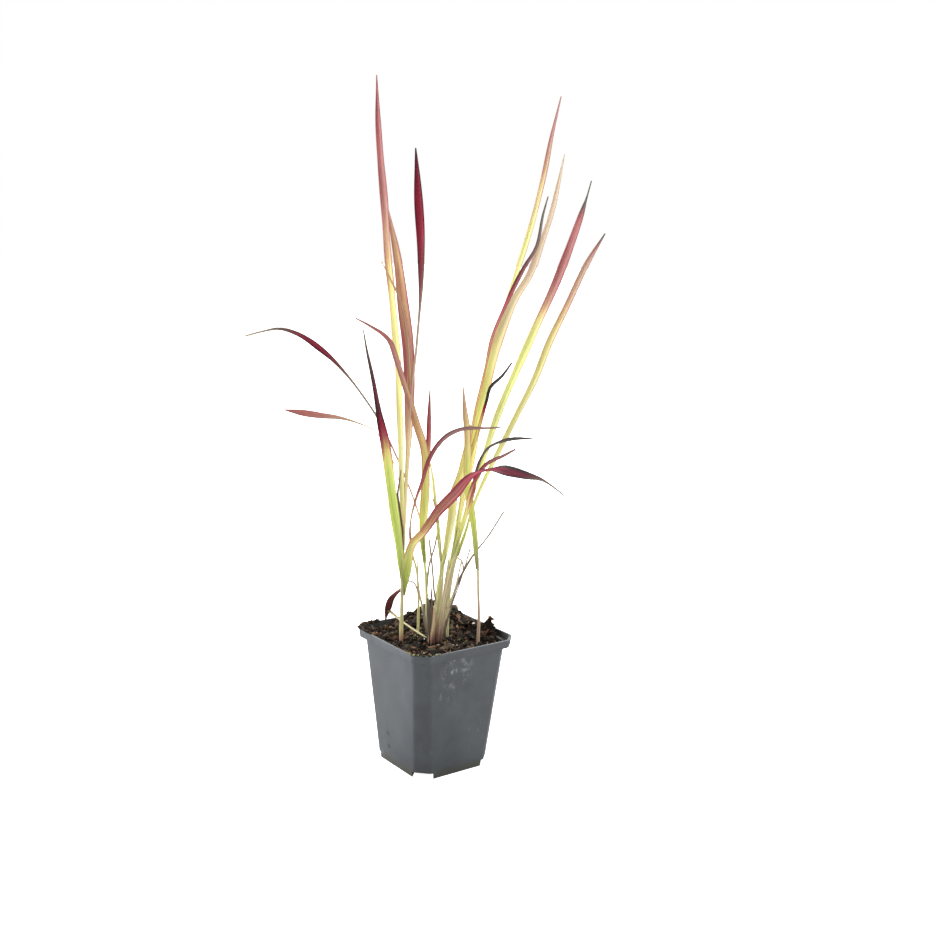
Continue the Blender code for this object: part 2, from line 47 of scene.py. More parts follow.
# %% [markdown]
# The real sizes come first, in millimetres, as they are in the CAD. The grass is laid out as it is seen
# from the front, with x to the right, y away and z up. VIEW_TURN turns that view frame to the pot's own,
# whose axes run along its sides.

# %% Sizes and frames
MM = 0.001
VIEW_TURN = math.radians(-35.1)
POT_HEIGHT = 100.0
BASE_SIDE = 65.0
NECK_SIDE = 82.0
RIM_SIDE = 90.0
RIM_HEIGHT = 6.0
NECK_LEVEL = POT_HEIGHT - RIM_HEIGHT
WALL = 1.3
FLOOR = 1.6
CORNER_LEG = 9.0
SOIL_LEVEL = 95.5


def turned(x, y, angle):
    """x and y, numbers or arrays, turned about the pot's axis."""
    c, s = math.cos(angle), math.sin(angle)
    return x * c - y * s, x * s + y * c


def to_part(x, y):
    return turned(x, y, VIEW_TURN)


def to_view(x, y):
    return turned(x, y, -VIEW_TURN)


print("front view looks from azimuth", round(math.degrees(VIEW_TURN), 1))

# %% [markdown]
# Blender's operators act on what is selected, and loading the frame leaves its nodes selected. So each step
# clears the selection first. A finished piece gets its material, rides on the part's one body, and hides the
# plain CAD nodes that it stands for.

# %% Selection and finishing helpers
def deselect():
    if bpy.context.mode != "OBJECT":
        bpy.ops.object.mode_set(mode="OBJECT")
    bpy.ops.object.select_all(action="DESELECT")


def activate(obj):
    deselect()
    obj.select_set(True)
    bpy.context.view_layer.objects.active = obj


def edit_all(obj):
    """Opens the object in edit mode with everything selected."""
    activate(obj)
    bpy.ops.object.mode_set(mode="EDIT")
    bpy.ops.mesh.select_all(action="SELECT")


def face_outwards():
    """Turns all faces of the mesh in edit mode outwards, and leaves edit mode."""
    bpy.ops.mesh.select_all(action="SELECT")
    bpy.ops.mesh.normals_make_consistent(inside=False)
    deselect()


def apply_modifiers(obj):
    activate(obj)
    for step in list(obj.modifiers):
        bpy.ops.object.modifier_apply(modifier=step.name)


def shade_smooth(obj, test=lambda face: True):
    for face in obj.data.polygons:
        face.use_smooth = test(face)


def join(name, objects):
    """Joins the objects into the first, which takes the name."""
    deselect()
    for obj in objects:
        obj.select_set(True)
    bpy.context.view_layer.objects.active = objects[0]
    if len(objects) > 1:
        bpy.ops.object.join()
    objects[0].name = name
    objects[0].data.name = name
    return objects[0]


def finish_piece(piece, finish, slot, *nodes):
    """Gives a piece its finish, ties it to the frame and hides the CAD nodes that it stands for."""
    piece.data.materials.clear()
    piece.data.materials.append(finish)
    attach(piece, "root")
    if nodes:
        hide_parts(*nodes)
    print(f"{piece.name}: {len(piece.data.polygons)} faces")
    return piece

# %% [markdown]
# Colours are picked as sRGB hex values, the way a paint program shows them. The shaders work in linear
# light, so one function turns them. Another adds a shader node with its settings and links. The size of a
# pattern is thought of in millimetres, and noise_scale() turns that to the scale that Blender's noise
# wants.

# %% Colour and shader helpers
def linear(hex_colour):
    parts = [int(hex_colour[i:i + 2], 16) / 255 for i in (1, 3, 5)]
    return (*[c / 12.92 if c <= 0.04045 else ((c + 0.055) / 1.055) ** 2.4 for c in parts], 1.0)


def noise_scale(size):
    """The noise scale that puts grains about this many millimetres apart."""
    return 1 / (size * MM)


def add_node(tree, kind, settings=None, values=None, links=None):
    """Adds a shader node, whose kind is the last part of its type's name in Blender. settings are its
    properties, values its unlinked inputs, and links its inputs from other sockets."""
    made = tree.nodes.new("ShaderNode" + kind)
    for key, value in (settings or {}).items():
        setattr(made, key, value)
    for key, value in (values or {}).items():
        made.inputs[key].default_value = value
    for key, socket in (links or {}).items():
        tree.links.new(socket, made.inputs[key])
    return made


def new_material(name):
    made = bpy.data.materials.new(name)
    made.use_nodes = True
    made.node_tree.nodes.clear()
    return made, made.node_tree


def show(material, shader):
    """Sends the shader to the material's output."""
    add_node(material.node_tree, "OutputMaterial", links={"Surface": shader.outputs[0]})
    print(f"finish {material.name}: {len(material.node_tree.nodes)} nodes")
    return material


def set_ramp(ramp, stops):
    """stops are (position, hex colour) from 0 to 1."""
    band = ramp.color_ramp
    while len(band.elements) > 1:
        band.elements.remove(band.elements[-1])
    band.elements[0].position, band.elements[0].color = stops[0][0], linear(stops[0][1])
    for place, colour in stops[1:]:
        band.elements.new(place).color = linear(colour)
    return ramp

# %% [markdown]
# The camera stands a little above the plant's middle and looks down on the pot's front corner. A square of
# known size seen at an angle fixes the distance, height and lens, so these values come from the pot's rim
# and base. The camera is built from its own three axes, so that pan, pitch and roll need no order of turns.

# %% Camera
CAMERA_BACK = 900.0
CAMERA_HEIGHT = 398.8
CAMERA_PAN = math.radians(1.56)
CAMERA_PITCH = math.radians(-11.11)
CAMERA_ROLL = math.radians(1.66)
CAMERA_LENS = 47.88
SENSOR_WIDTH = 36.0
NEAREST_SEEN = 10.0

level_run = math.cos(CAMERA_PITCH)
ahead = Vector((math.sin(CAMERA_PAN) * level_run, math.cos(CAMERA_PAN) * level_run, math.sin(CAMERA_PITCH)))
level = Vector((math.cos(CAMERA_PAN), -math.sin(CAMERA_PAN), 0))
upright = level.cross(ahead)
right = level * math.cos(CAMERA_ROLL) + upright * math.sin(CAMERA_ROLL)
up = upright * math.cos(CAMERA_ROLL) - level * math.sin(CAMERA_ROLL)
facing = Matrix((right, up, -ahead)).transposed().to_4x4()
spin = Matrix.Rotation(VIEW_TURN, 4, "Z")
bpy.ops.object.camera_add()
camera = bpy.context.object
camera.name = "front_camera"
camera.matrix_world = spin @ Matrix.Translation((0, -CAMERA_BACK * MM, CAMERA_HEIGHT * MM)) @ facing
camera.data.lens = CAMERA_LENS
camera.data.sensor_width = SENSOR_WIDTH
camera.data.clip_start = NEAREST_SEEN * MM
bpy.context.scene.camera = camera
print("camera at", [round(c, 3) for c in camera.matrix_world.translation])

# %% [markdown]
# The plant stands on a white table. Most of its light comes through the leaves from behind and above, some
# from a window on its left, less from the wall on its right, and little from the camera's side. The floor
# is a plain pale disc that reads as white where the camera sees it, but is greyer in the light that it
# throws back, or it would wash out the pot.

# %% Floor
FLOOR_RADIUS = 12.0
FLOOR_DROP = 0.4
FLOOR_GLOW = 1.0


def make_floor():
    deselect()
    bpy.ops.mesh.primitive_circle_add(vertices=96, radius=FLOOR_RADIUS, fill_type="NGON",
                                      location=(0, 0, -FLOOR_DROP * MM))
    bpy.ops.object.transform_apply()
    floor = bpy.context.object
    floor.name = "floor"
    made, tree = new_material("pale_table")
    seen = add_node(tree, "LightPath").outputs["Is Camera Ray"]
    tone = add_node(tree, "Mix", {"data_type": "RGBA"},
                    {6: linear("#b2b2b2"), 7: linear("#f6f6f6")}, {0: seen})
    glow = add_node(tree, "Math", {"operation": "MULTIPLY"}, {1: FLOOR_GLOW}, {0: seen})
    shader = add_node(tree, "BsdfPrincipled", values={
        "Roughness": 0.9, "Emission Color": (1, 1, 1, 1)}, links={
        "Base Color": tone.outputs[2], "Emission Strength": glow.outputs[0]})
    floor.data.materials.append(show(made, shader))


make_floor()

# %% [markdown]
# The room around is a smooth glow. It is bright from the sides and the back and fades towards the camera's
# side, by the cosine of the angle to it. Four square softboxes add direction, and none of them is seen
# itself.

# %% Light
LIGHT_SIDES = 1.5
LIGHT_FRONT = 0.2
FADE_FROM = 0.1
FADE_TO = 0.85
WHITE = (1, 1, 1, 1)


def make_world():
    world = bpy.data.worlds.new("studio")
    bpy.context.scene.world = world
    world.use_nodes = True
    tree = world.node_tree
    tree.nodes.clear()
    place = add_node(tree, "TexCoord").outputs["Generated"]
    camera_side = Vector((*to_part(0.1, -1.0), 0.0)).normalized()
    toward = add_node(tree, "VectorMath", {"operation": "DOT_PRODUCT"}, {1: camera_side}, {0: place})
    glow = add_node(tree, "MapRange", {"interpolation_type": "SMOOTHSTEP"}, {
        "From Min": FADE_FROM, "From Max": FADE_TO, "To Min": LIGHT_SIDES, "To Max": LIGHT_FRONT}, {
        "Value": toward.outputs["Value"]})
    seen = add_node(tree, "LightPath").outputs["Is Camera Ray"]
    strength = add_node(tree, "Mix", {"data_type": "FLOAT"}, {3: 1.0},
                        {0: seen, 2: glow.outputs["Result"]})
    back = add_node(tree, "Background", values={"Color": WHITE},
                    links={"Strength": strength.outputs[0]})
    add_node(tree, "OutputWorld", links={"Surface": back.outputs[0]})


def add_softbox(name, place, target, size, watts):
    """A square light at a place in the view frame, in metres, that faces a target above the pot's base."""
    bpy.ops.object.light_add(type="AREA", location=(*to_part(place[0], place[1]), place[2]))
    light = bpy.context.object
    light.name = name
    light.data.shape = "SQUARE"
    light.data.size = size
    light.data.energy = watts
    aim = Vector((0, 0, target)) - light.location
    light.rotation_euler = aim.to_track_quat("-Z", "Y").to_euler()
    light.visible_camera = False
    print(f"{name}: {watts} W")


make_world()
add_softbox("window_left", (-1.5, 0.25, 0.75), target=0.1, size=1.1, watts=34.0)
add_softbox("wall_right", (1.5, -0.45, 0.6), target=0.1, size=1.1, watts=11.0)
add_softbox("overhead", (0.2, 0.0, 1.9), target=0.2, size=1.2, watts=12.0)
add_softbox("behind_and_above", (0.1, 1.2, 1.9), target=0.25, size=1.4, watts=34.0)
bpy.context.scene.view_settings.view_transform = "Standard"

# %% [markdown]
# The pot is injection-moulded polypropylene, a matte grey plastic a little over a millimetre thick. The grey
# pigment is never quite even, and handling leaves short upright scuffs. A slow noise gives the first, and a
# noise stretched upwards, kept only where a second one is high, gives the second.

# %% Finish: grey plastic with scuffs
PIGMENT = [(0.3, "#404347"), (0.55, "#4a4e52"), (0.8, "#54585c")]
CLOUD_SIZE = 26.32
SCUFF_WIDTH = 3.846
SCUFF_LENGTH = 10.526
SCUFF_PATCH = 33.333


def scuffed_plastic(tree, place):
    """Gives the colour of the moulded plastic, and its slow clouds."""
    cloud = add_node(tree, "TexNoise", links={"Vector": place}, values={
        "Scale": noise_scale(CLOUD_SIZE), "Detail": 4.0, "Roughness": 0.6})
    tone = set_ramp(add_node(tree, "ValToRGB", links={"Fac": cloud.outputs["Fac"]}), PIGMENT)
    stretch = add_node(tree, "Mapping", links={"Vector": place}, values={
        "Scale": (noise_scale(SCUFF_WIDTH), noise_scale(SCUFF_WIDTH), noise_scale(SCUFF_LENGTH))})
    mark = add_node(tree, "TexNoise", links={"Vector": stretch.outputs["Vector"]}, values={
        "Scale": 1.0, "Detail": 3.0, "Roughness": 0.7})
    patch = add_node(tree, "TexNoise", links={"Vector": place}, values={
        "Scale": noise_scale(SCUFF_PATCH), "Detail": 2.0})
    both = add_node(tree, "Math", {"operation": "MULTIPLY"}, links={
        0: mark.outputs["Fac"], 1: patch.outputs["Fac"]})
    scuff = add_node(tree, "MapRange", links={"Value": both.outputs[0]}, values={
        "From Min": 0.37, "From Max": 0.47, "To Max": 0.55})
    colour = add_node(tree, "Mix", {"data_type": "RGBA"}, {7: linear("#7b7f80")}, {
        0: scuff.outputs["Result"], 6: tone.outputs["Color"]})
    return colour.outputs[2], cloud.outputs["Fac"]

# %% [markdown]
# Use has marked the pot in three places, and painted shade darkens a fourth. Drops of muddy water dried to a
# pale patch high on one side, and two dark specks sit low on the next. Soil splashed up from the bench left
# a dull band round the foot. The wall inside the rim is darkened with painted shade, for the deep shadow
# that falls there. Each mark is a colour laid over the last through a mask, and the masks come from the
# place on the pot, in millimetres.

# %% Finish: splashes, specks, stains and painted shade
SPLASH_AT = (-8, -40, 83)
SPLASH_REACH = 18
SPECKS = [((-34.7, 8.9, 24.1), 3.2), ((-33.7, 8.7, 13.6), 2.8)]
GRIME_TOP = 9.0
INNER_HALF = 43.6
INNER_CORNER = 78.9


def round_mask(tree, place, centre, radius):
    """1 at a place on the piece (mm), fading to 0 at the radius."""
    away = add_node(tree, "VectorMath", {"operation": "DISTANCE"}, {1: Vector(centre) * MM}, {0: place})
    mask = add_node(tree, "MapRange", {"interpolation_type": "SMOOTHSTEP"}, {
        "From Min": radius * MM, "From Max": radius * 0.2 * MM}, {"Value": away.outputs["Value"]})
    return mask.outputs["Result"]


def splashed(tree, place, below, splash):
    """Lays the pale splash and the two dark specks over the colour below."""
    drops = add_node(tree, "MapRange", links={"Value": splash}, values={
        "From Min": 0.52, "From Max": 0.66, "To Max": 0.5})
    wet_patch = add_node(tree, "Math", {"operation": "MULTIPLY"}, links={
        0: drops.outputs["Result"], 1: round_mask(tree, place, SPLASH_AT, SPLASH_REACH)})
    pale = add_node(tree, "Mix", {"data_type": "RGBA"}, {7: linear("#a9adae")}, {
        0: wet_patch.outputs[0], 6: below})
    high, low = (round_mask(tree, place, centre, radius) for centre, radius in SPECKS)
    specks = add_node(tree, "Math", {"operation": "MAXIMUM"}, links={0: high, 1: low})
    marked = add_node(tree, "Mix", {"data_type": "RGBA"}, {7: linear("#24272a")}, {
        0: specks.outputs[0], 6: pale.outputs[2]})
    return marked.outputs[2]


def grimy_foot(tree, place, below, splash):
    """Lays the dull band of dried soil over the colour below, round the pot's foot."""
    height = add_node(tree, "SeparateXYZ", links={0: place}).outputs["Z"]
    band = add_node(tree, "MapRange", {"interpolation_type": "SMOOTHSTEP"}, {
        "From Min": GRIME_TOP * MM, "From Max": 0.5 * MM, "To Max": 1.3}, {"Value": height})
    grime = add_node(tree, "Math", {"operation": "MULTIPLY", "use_clamp": True}, links={
        0: band.outputs["Result"], 1: splash})
    dirty = add_node(tree, "Mix", {"data_type": "RGBA"}, {7: linear("#4a4a3a")}, {
        0: grime.outputs[0], 6: below})
    return dirty.outputs[2]


def shade_inside_rim(tree, place, below):
    """Darkens the wall inside the rim with painted shade: within the inner sides and cut corners, and above
    the lip's underside."""
    reach = add_node(tree, "VectorMath", {"operation": "ABSOLUTE"}, links={0: place})
    axes = add_node(tree, "SeparateXYZ", links={0: reach.outputs["Vector"]}).outputs
    widest = add_node(tree, "Math", {"operation": "MAXIMUM"}, links={0: axes["X"], 1: axes["Y"]})
    corner = add_node(tree, "Math", {"operation": "ADD"}, links={0: axes["X"], 1: axes["Y"]})
    tests = [("LESS_THAN", INNER_HALF, widest.outputs[0]), ("LESS_THAN", INNER_CORNER, corner.outputs[0]),
             ("GREATER_THAN", NECK_LEVEL + 0.5, axes["Z"])]
    passed = [add_node(tree, "Math", {"operation": test}, {1: limit * MM}, {0: value}).outputs[0]
              for test, limit, value in tests]
    sides = add_node(tree, "Math", {"operation": "MULTIPLY"}, links={0: passed[0], 1: passed[1]})
    inner_shade = add_node(tree, "Math", {"operation": "MULTIPLY"}, links={0: sides.outputs[0], 1: passed[2]})
    # The near-black colour is painted shade: the inner wall above the lip stands in deep shadow.
    shaded_inside = add_node(tree, "Mix", {"data_type": "RGBA"}, {7: linear("#16181a")}, {
        0: inner_shade.outputs[0], 6: below})
    return shaded_inside.outputs[2]

# %% [markdown]
# Moulded polypropylene has an index of refraction of about 1.49 and a satin face: the mould's polish gives
# it a soft sheen, and a faint orange peel, a fraction of a millimetre apart, breaks that sheen up. The
# roughness follows the pigment's clouds, as the plastic is a little duller where it is paler.

# %% Finish: moulded polypropylene
SPLASH_SIZE = 5.2632
PEEL_SIZE = 0.66667
PLASTIC_IOR = 1.49


def polypropylene():
    made, tree = new_material("moulded_polypropylene")
    place = add_node(tree, "TexCoord").outputs["Object"]
    splash = add_node(tree, "TexNoise", links={"Vector": place}, values={
        "Scale": noise_scale(SPLASH_SIZE), "Detail": 3.0, "Roughness": 0.65}).outputs["Fac"]
    plastic, cloud = scuffed_plastic(tree, place)
    marked = splashed(tree, place, plastic, splash)
    # The last layer is painted shade on the wall inside the rim.
    colour = shade_inside_rim(tree, place, grimy_foot(tree, place, marked, splash))
    rough = add_node(tree, "MapRange", links={"Value": cloud}, values={"To Min": 0.42, "To Max": 0.62})
    peel = add_node(tree, "TexNoise", links={"Vector": place}, values={
        "Scale": noise_scale(PEEL_SIZE), "Detail": 2.0})
    bump = add_node(tree, "Bump", links={"Height": peel.outputs["Fac"]}, values={
        "Strength": 0.12, "Distance": 0.2 * MM})
    shader = add_node(tree, "BsdfPrincipled", values={"IOR": PLASTIC_IOR}, links={
        "Base Color": colour, "Roughness": rough.outputs["Result"], "Normal": bump.outputs["Normal"]})
    return show(made, shader)


pot_finish = polypropylene()

# %% [markdown]
# The pot grows from one cube. Its upright edges are cut back by 9 mm and softened, and the top is pushed
# out to the neck. The open edge is then extruded ring by ring, as a potter pulls a wall: out under the lip,
# up, over, and down the inside to the floor. It could also be a solid that a smaller one is cut from, but
# rings give clean faces that follow the wall.

# %% Pot: shaping helpers
def select_edges(obj, test):
    """Selects the edges whose two ends pass the test, and leaves the object in edit mode."""
    activate(obj)
    bpy.ops.object.mode_set(mode="EDIT")
    bpy.ops.mesh.select_mode(type="EDGE")
    bpy.ops.mesh.select_all(action="DESELECT")
    bpy.ops.object.mode_set(mode="OBJECT")
    points = obj.data.vertices
    for edge in obj.data.edges:
        edge.select = test(points[edge.vertices[0]].co, points[edge.vertices[1]].co)
    bpy.ops.object.mode_set(mode="EDIT")


def upright_edge(a, b):
    return abs(a.z - b.z) > MM


def top_edge(a, b):
    return min(a.z, b.z) > MM


def push_selected(obj, outward, height):
    """Moves the selected ring out along X and Y, away from the axis, and up to a height."""
    bpy.ops.object.mode_set(mode="OBJECT")
    for v in obj.data.vertices:
        if v.select:
            v.co.x += outward * math.copysign(MM, v.co.x)
            v.co.y += outward * math.copysign(MM, v.co.y)
            v.co.z = height * MM
    bpy.ops.object.mode_set(mode="EDIT")

# %% Pot: walls and rim
CORNER_SOFT = 1.8
LIP_FLARE = 0.6
LIP_THICK = 1.4
RIM_WALL = 1.6


def raise_walls():
    """The pot's body, open at the top: corners cut and softened, then one ring after another."""
    deselect()
    bpy.ops.mesh.primitive_cube_add(size=1, location=(0, 0, 0))
    pot = bpy.context.object
    for v in pot.data.vertices:
        v.co = Vector((v.co.x * BASE_SIDE, v.co.y * BASE_SIDE, NECK_LEVEL if v.co.z > 0 else 0)) * MM
    for offset, segments in ((CORNER_LEG, 1), (CORNER_SOFT, 3)):
        select_edges(pot, upright_edge)
        bpy.ops.mesh.bevel(offset=offset * MM, segments=segments, affect="EDGES", clamp_overlap=False)
        bpy.ops.object.mode_set(mode="OBJECT")
    draft = (NECK_SIDE - BASE_SIDE) / 2
    select_edges(pot, top_edge)
    push_selected(pot, draft, NECK_LEVEL)
    bpy.ops.mesh.delete(type="ONLY_FACE")
    select_edges(pot, top_edge)
    lip = (RIM_SIDE - NECK_SIDE) / 2 - LIP_FLARE
    shelf = NECK_LEVEL + LIP_THICK
    rings = [(lip, NECK_LEVEL), (LIP_FLARE, POT_HEIGHT), (-RIM_WALL, POT_HEIGHT), (-LIP_FLARE, shelf),
             (RIM_WALL - WALL - lip, shelf), (-draft * (1 - FLOOR / NECK_LEVEL), FLOOR)]
    for outward, height in rings:
        bpy.ops.mesh.extrude_region_move()
        push_selected(pot, outward, height)
    bpy.ops.mesh.edge_face_add()
    face_outwards()
    return pot

# %% [markdown]
# Boxes cut the four notches at the pot's feet and cylinders the drain holes, in that order at each quarter
# turn. A small bevel then softens each sharp edge, because a moulded edge always catches a thin line of
# light.

# %% Pot: feet, holes and soft edges
NOTCH_DEPTH = 20.0
NOTCH_WIDTH = 15.7
NOTCH_HEIGHT = 4.5
CUT_BELOW = 2.5
DRAIN_RADIUS = 3.5
DRAIN_OFFSET = 20.0
DRAIN_CUT = 10.0
EDGE_BEVEL = 0.45


def cut(obj, cutter):
    step = obj.modifiers.new("cut", "BOOLEAN")
    step.operation = "DIFFERENCE"
    step.object = cutter
    step.solver = "EXACT"
    apply_modifiers(obj)
    bpy.data.objects.remove(cutter, do_unlink=True)


def cut_feet(pot):
    reach = (BASE_SIDE / 2 * math.sqrt(2) - CORNER_LEG / math.sqrt(2)) * MM
    middle = (NOTCH_HEIGHT - CUT_BELOW) / 2 * MM
    for quarter in range(4):
        angle = math.radians(45 + 90 * quarter)
        bpy.ops.mesh.primitive_cube_add(size=1, rotation=(0, 0, angle), location=(
            reach * math.cos(angle), reach * math.sin(angle), middle))
        box = bpy.context.object
        box.scale = Vector((NOTCH_DEPTH, NOTCH_WIDTH, NOTCH_HEIGHT + CUT_BELOW)) * MM
        cut(pot, box)
        turn = math.radians(90 * quarter)
        bpy.ops.mesh.primitive_cylinder_add(
            vertices=32, radius=DRAIN_RADIUS * MM, depth=DRAIN_CUT * MM,
            location=(DRAIN_OFFSET * MM * math.cos(turn), DRAIN_OFFSET * MM * math.sin(turn), 0))
        cut(pot, bpy.context.object)


def make_pot(finish):
    pot = raise_walls()
    cut_feet(pot)
    soften = pot.modifiers.new("soft_edges", "BEVEL")
    soften.width = EDGE_BEVEL * MM
    soften.segments = 2
    soften.limit_method = "ANGLE"
    soften.angle_limit = math.radians(38)
    apply_modifiers(pot)
    bpy.ops.object.shade_smooth_by_angle(angle=math.radians(40))
    pot.name = "square_pot"
    return finish_piece(pot, finish, "pot", "pot")


square_pot = make_pot(pot_finish)

# %% [markdown]
# Potting soil is peat and shredded bark, dark and damp, with red-brown fibres, a little moss and white
# perlite. Its height is a formula, so that the bed, each grain on it and each stalk in it agree on where
# the ground is. The first mounds are the CAD's own. The others are the loose soil heaped against the back
# walls.

# %% Soil: its height
CAD_MOUNDS = [
    (15.0, -1, 36, 17), (4.0, 16, 34, 14), (3.0, 28, 20, 12), (-5.0, 46, -8, 18), (-1.5, -10, -48, 16)]
LOOSE_MOUNDS = [
    (15.0, 41, 9, 6), (3.0, 31, 14, 7), (3.0, -24, 36, 14), (1.5, -54, 10, 8), (-3.5, 53, -11, 8)]


def mounds(x, y, rows):
    """The sum of round mounds and dips, each (height, x, y, spread) in the view frame, in mm."""
    return sum(height * math.exp(-((x - at_x) ** 2 + (y - at_y) ** 2) / spread**2)
               for height, at_x, at_y, spread in rows)


def soil_height(x, y):
    """Height of the soil in the view frame, in mm, as in the CAD."""
    broad_lumps = 0.9 * math.sin(0.31 * x + 0.8) * math.cos(0.27 * y + 0.4)
    small_lumps = 0.6 * math.sin(0.57 * x - 0.49 * y + 2.0)
    return SOIL_LEVEL + broad_lumps + small_lumps + mounds(x, y, CAD_MOUNDS)


def clod_height(x, y):
    """The soil's height with its loose heaps and clods, for a point in the part's frame, in mm."""
    seen = to_view(x, y)
    coarse = noise.noise(Vector((x * 0.17, y * 0.17, 3.1)))
    fine = noise.noise(Vector((x * 0.45, y * 0.45, 7.7)))
    return soil_height(*seen) + mounds(*seen, LOOSE_MOUNDS) + 2.4 * coarse + 1.4 * fine - 0.4


print("soil at the crown:", round(soil_height(0, 0), 1), "mm")

# %% [markdown]
# Nothing may poke through the pot's thin wall. One function pulls any point of the soil back to the wall:
# the tapered one below the rim's inner shelf, and the wider rim above it, with the cut corners as well.

# %% Soil: kept within the wall
SHELF_LEVEL = 95.6
RIM_REACH = 42.4
WALL_MARGIN = 0.9


def hold_inside(x, y, z):
    taper = (NECK_SIDE - BASE_SIDE) * z / NECK_LEVEL
    half = RIM_REACH if z > SHELF_LEVEL else (BASE_SIDE + taper) / 2 - WALL_MARGIN
    x, y = max(-half, min(half, x)), max(-half, min(half, y))
    over = abs(x) + abs(y) - (2 * half - CORNER_LEG)
    if over > 0:
        x, y = x - math.copysign(over / 2, x), y - math.copysign(over / 2, y)
    return x, y

# %% [markdown]
# Damp peat is almost black and quite matt, with browner crumbs in it about 3 mm across. A detailed noise
# gives both the colour and the bump, so that the high crumbs are the paler, drier ones.

# %% Finish: peat and bark
PEAT = [(0.3, "#0c0906"), (0.5, "#1a130d"), (0.62, "#2d2118"), (0.75, "#463527")]
PEAT_GRAIN = 3.125


def bark_soil():
    made, tree = new_material("peat_and_bark")
    place = add_node(tree, "TexCoord").outputs["Object"]
    cloud = add_node(tree, "TexNoise", links={"Vector": place}, values={
        "Scale": noise_scale(PEAT_GRAIN), "Detail": 5.0, "Roughness": 0.65})
    tone = set_ramp(add_node(tree, "ValToRGB", links={"Fac": cloud.outputs["Fac"]}), PEAT)
    bump = add_node(tree, "Bump", links={"Height": cloud.outputs["Fac"]}, values={
        "Strength": 0.7, "Distance": 0.8 * MM})
    shader = add_node(tree, "BsdfPrincipled", values={
        "Roughness": 0.92, "Specular IOR Level": 0.15}, links={
        "Base Color": tone.outputs["Color"], "Normal": bump.outputs["Normal"]})
    return show(made, shader)

# %% [markdown]
# The bed is a fine grid. Each of its points is pulled inside the wall and lifted to the soil's height. Its
# edge is then extruded down and inwards and closed underneath, so that the bed is a solid cake.

# %% Soil bed
BED_CELLS = 130
BED_SIDE = 86.0
CAKE_TAPER = 0.86
CAKE_BOTTOM = 89.0


def make_soil_bed(finish):
    deselect()
    bpy.ops.mesh.primitive_grid_add(x_subdivisions=BED_CELLS, y_subdivisions=BED_CELLS, size=1)
    bed = bpy.context.object
    for v in bed.data.vertices:
        x, y = v.co.x * BED_SIDE, v.co.y * BED_SIDE
        x, y = hold_inside(x, y, soil_height(*to_view(x, y)))
        v.co = Vector((x, y, clod_height(x, y))) * MM
    edit_all(bed)
    bpy.ops.mesh.region_to_loop()
    bpy.ops.mesh.extrude_region_move()
    bpy.ops.object.mode_set(mode="OBJECT")
    for v in bed.data.vertices:
        if v.select:
            v.co.x, v.co.y, v.co.z = v.co.x * CAKE_TAPER, v.co.y * CAKE_TAPER, CAKE_BOTTOM * MM
    bpy.ops.object.mode_set(mode="EDIT")
    bpy.ops.mesh.edge_face_add()
    face_outwards()
    shade_smooth(bed)
    bed.name = "soil_bed"
    return finish_piece(bed, finish, "soil", "soil")


soil_bed = make_soil_bed(bark_soil())

# %% [markdown]
# The loose grains give the soil its look. A crumb starts as a small ball of few faces and is knocked out of
# shape by noise. A bark chip is a slab, thinner at one end, whose faces are split at random. A fibre is a
# thin thread, cut across three times and bent. Each is modelled once, about 1 long, and is grown to its
# size when it is laid.

# %% Soil: models of the grains
CHIP_THICK = 0.22
FIBRE_THICK = 0.06


def crumb_model(seed, stretch):
    deselect()
    bpy.ops.mesh.primitive_ico_sphere_add(subdivisions=2, radius=0.5)
    crumb = bpy.context.object
    for v in crumb.data.vertices:
        push = 1 + 0.5 * noise.noise(v.co * 3.1 + Vector((seed, seed * 0.7, 0)))
        v.co = Vector((v.co.x * stretch[0], v.co.y * stretch[1], v.co.z * stretch[2])) * push
    return crumb


def chip_model():
    deselect()
    bpy.ops.mesh.primitive_cube_add(size=1)
    chip = bpy.context.object
    for v in chip.data.vertices:
        v.co = Vector((v.co.x, v.co.y * (0.42 if v.co.x > 0 else 0.55), v.co.z * CHIP_THICK))
    edit_all(chip)
    bpy.ops.mesh.subdivide(number_cuts=1, fractal=0.5, seed=4)
    bpy.ops.object.mode_set(mode="OBJECT")
    return chip


def fibre_model():
    deselect()
    bpy.ops.mesh.primitive_cylinder_add(vertices=4, radius=0.5, depth=1, end_fill_type="NGON",
                                        rotation=(0, 1.5708, 0))
    bpy.ops.object.transform_apply()
    fibre = bpy.context.object
    edit_all(fibre)
    for place in (0.25, 0, -0.25):
        bpy.ops.mesh.select_all(action="SELECT")
        bpy.ops.mesh.bisect(plane_co=(place, 0, 0), plane_no=(1, 0, 0))
    bpy.ops.object.mode_set(mode="OBJECT")
    for v in fibre.data.vertices:
        sideways, upwards = 0.16 * math.cos(3 * v.co.x), 0.1 * math.cos(2.2 * v.co.x)
        v.co = Vector((v.co.x, v.co.y * FIBRE_THICK + sideways, v.co.z * FIBRE_THICK + upwards))
    return fibre

# %% [markdown]
# Copies of the grains are strewn over the soil, each with its own mesh, turn, size and random number, and
# joined to one piece of each kind. The draws are seeded, so that every run lays the same soil. Points that
# end up in the wall are pulled back inside it.

# %% Soil: strewing
NEAR_WALL = 39.5
RIM_JITTER = 0.5
FULL_TURN = 6.283


def strewn_place(draw, area, near):
    """A place for one grain, anywhere in the area or gathered near a spot."""
    if near:
        return to_part(near[0] + draw.normal(0, near[2]), near[1] + draw.normal(0, near[2]))
    return draw.uniform(-area, area), draw.uniform(-area, area)


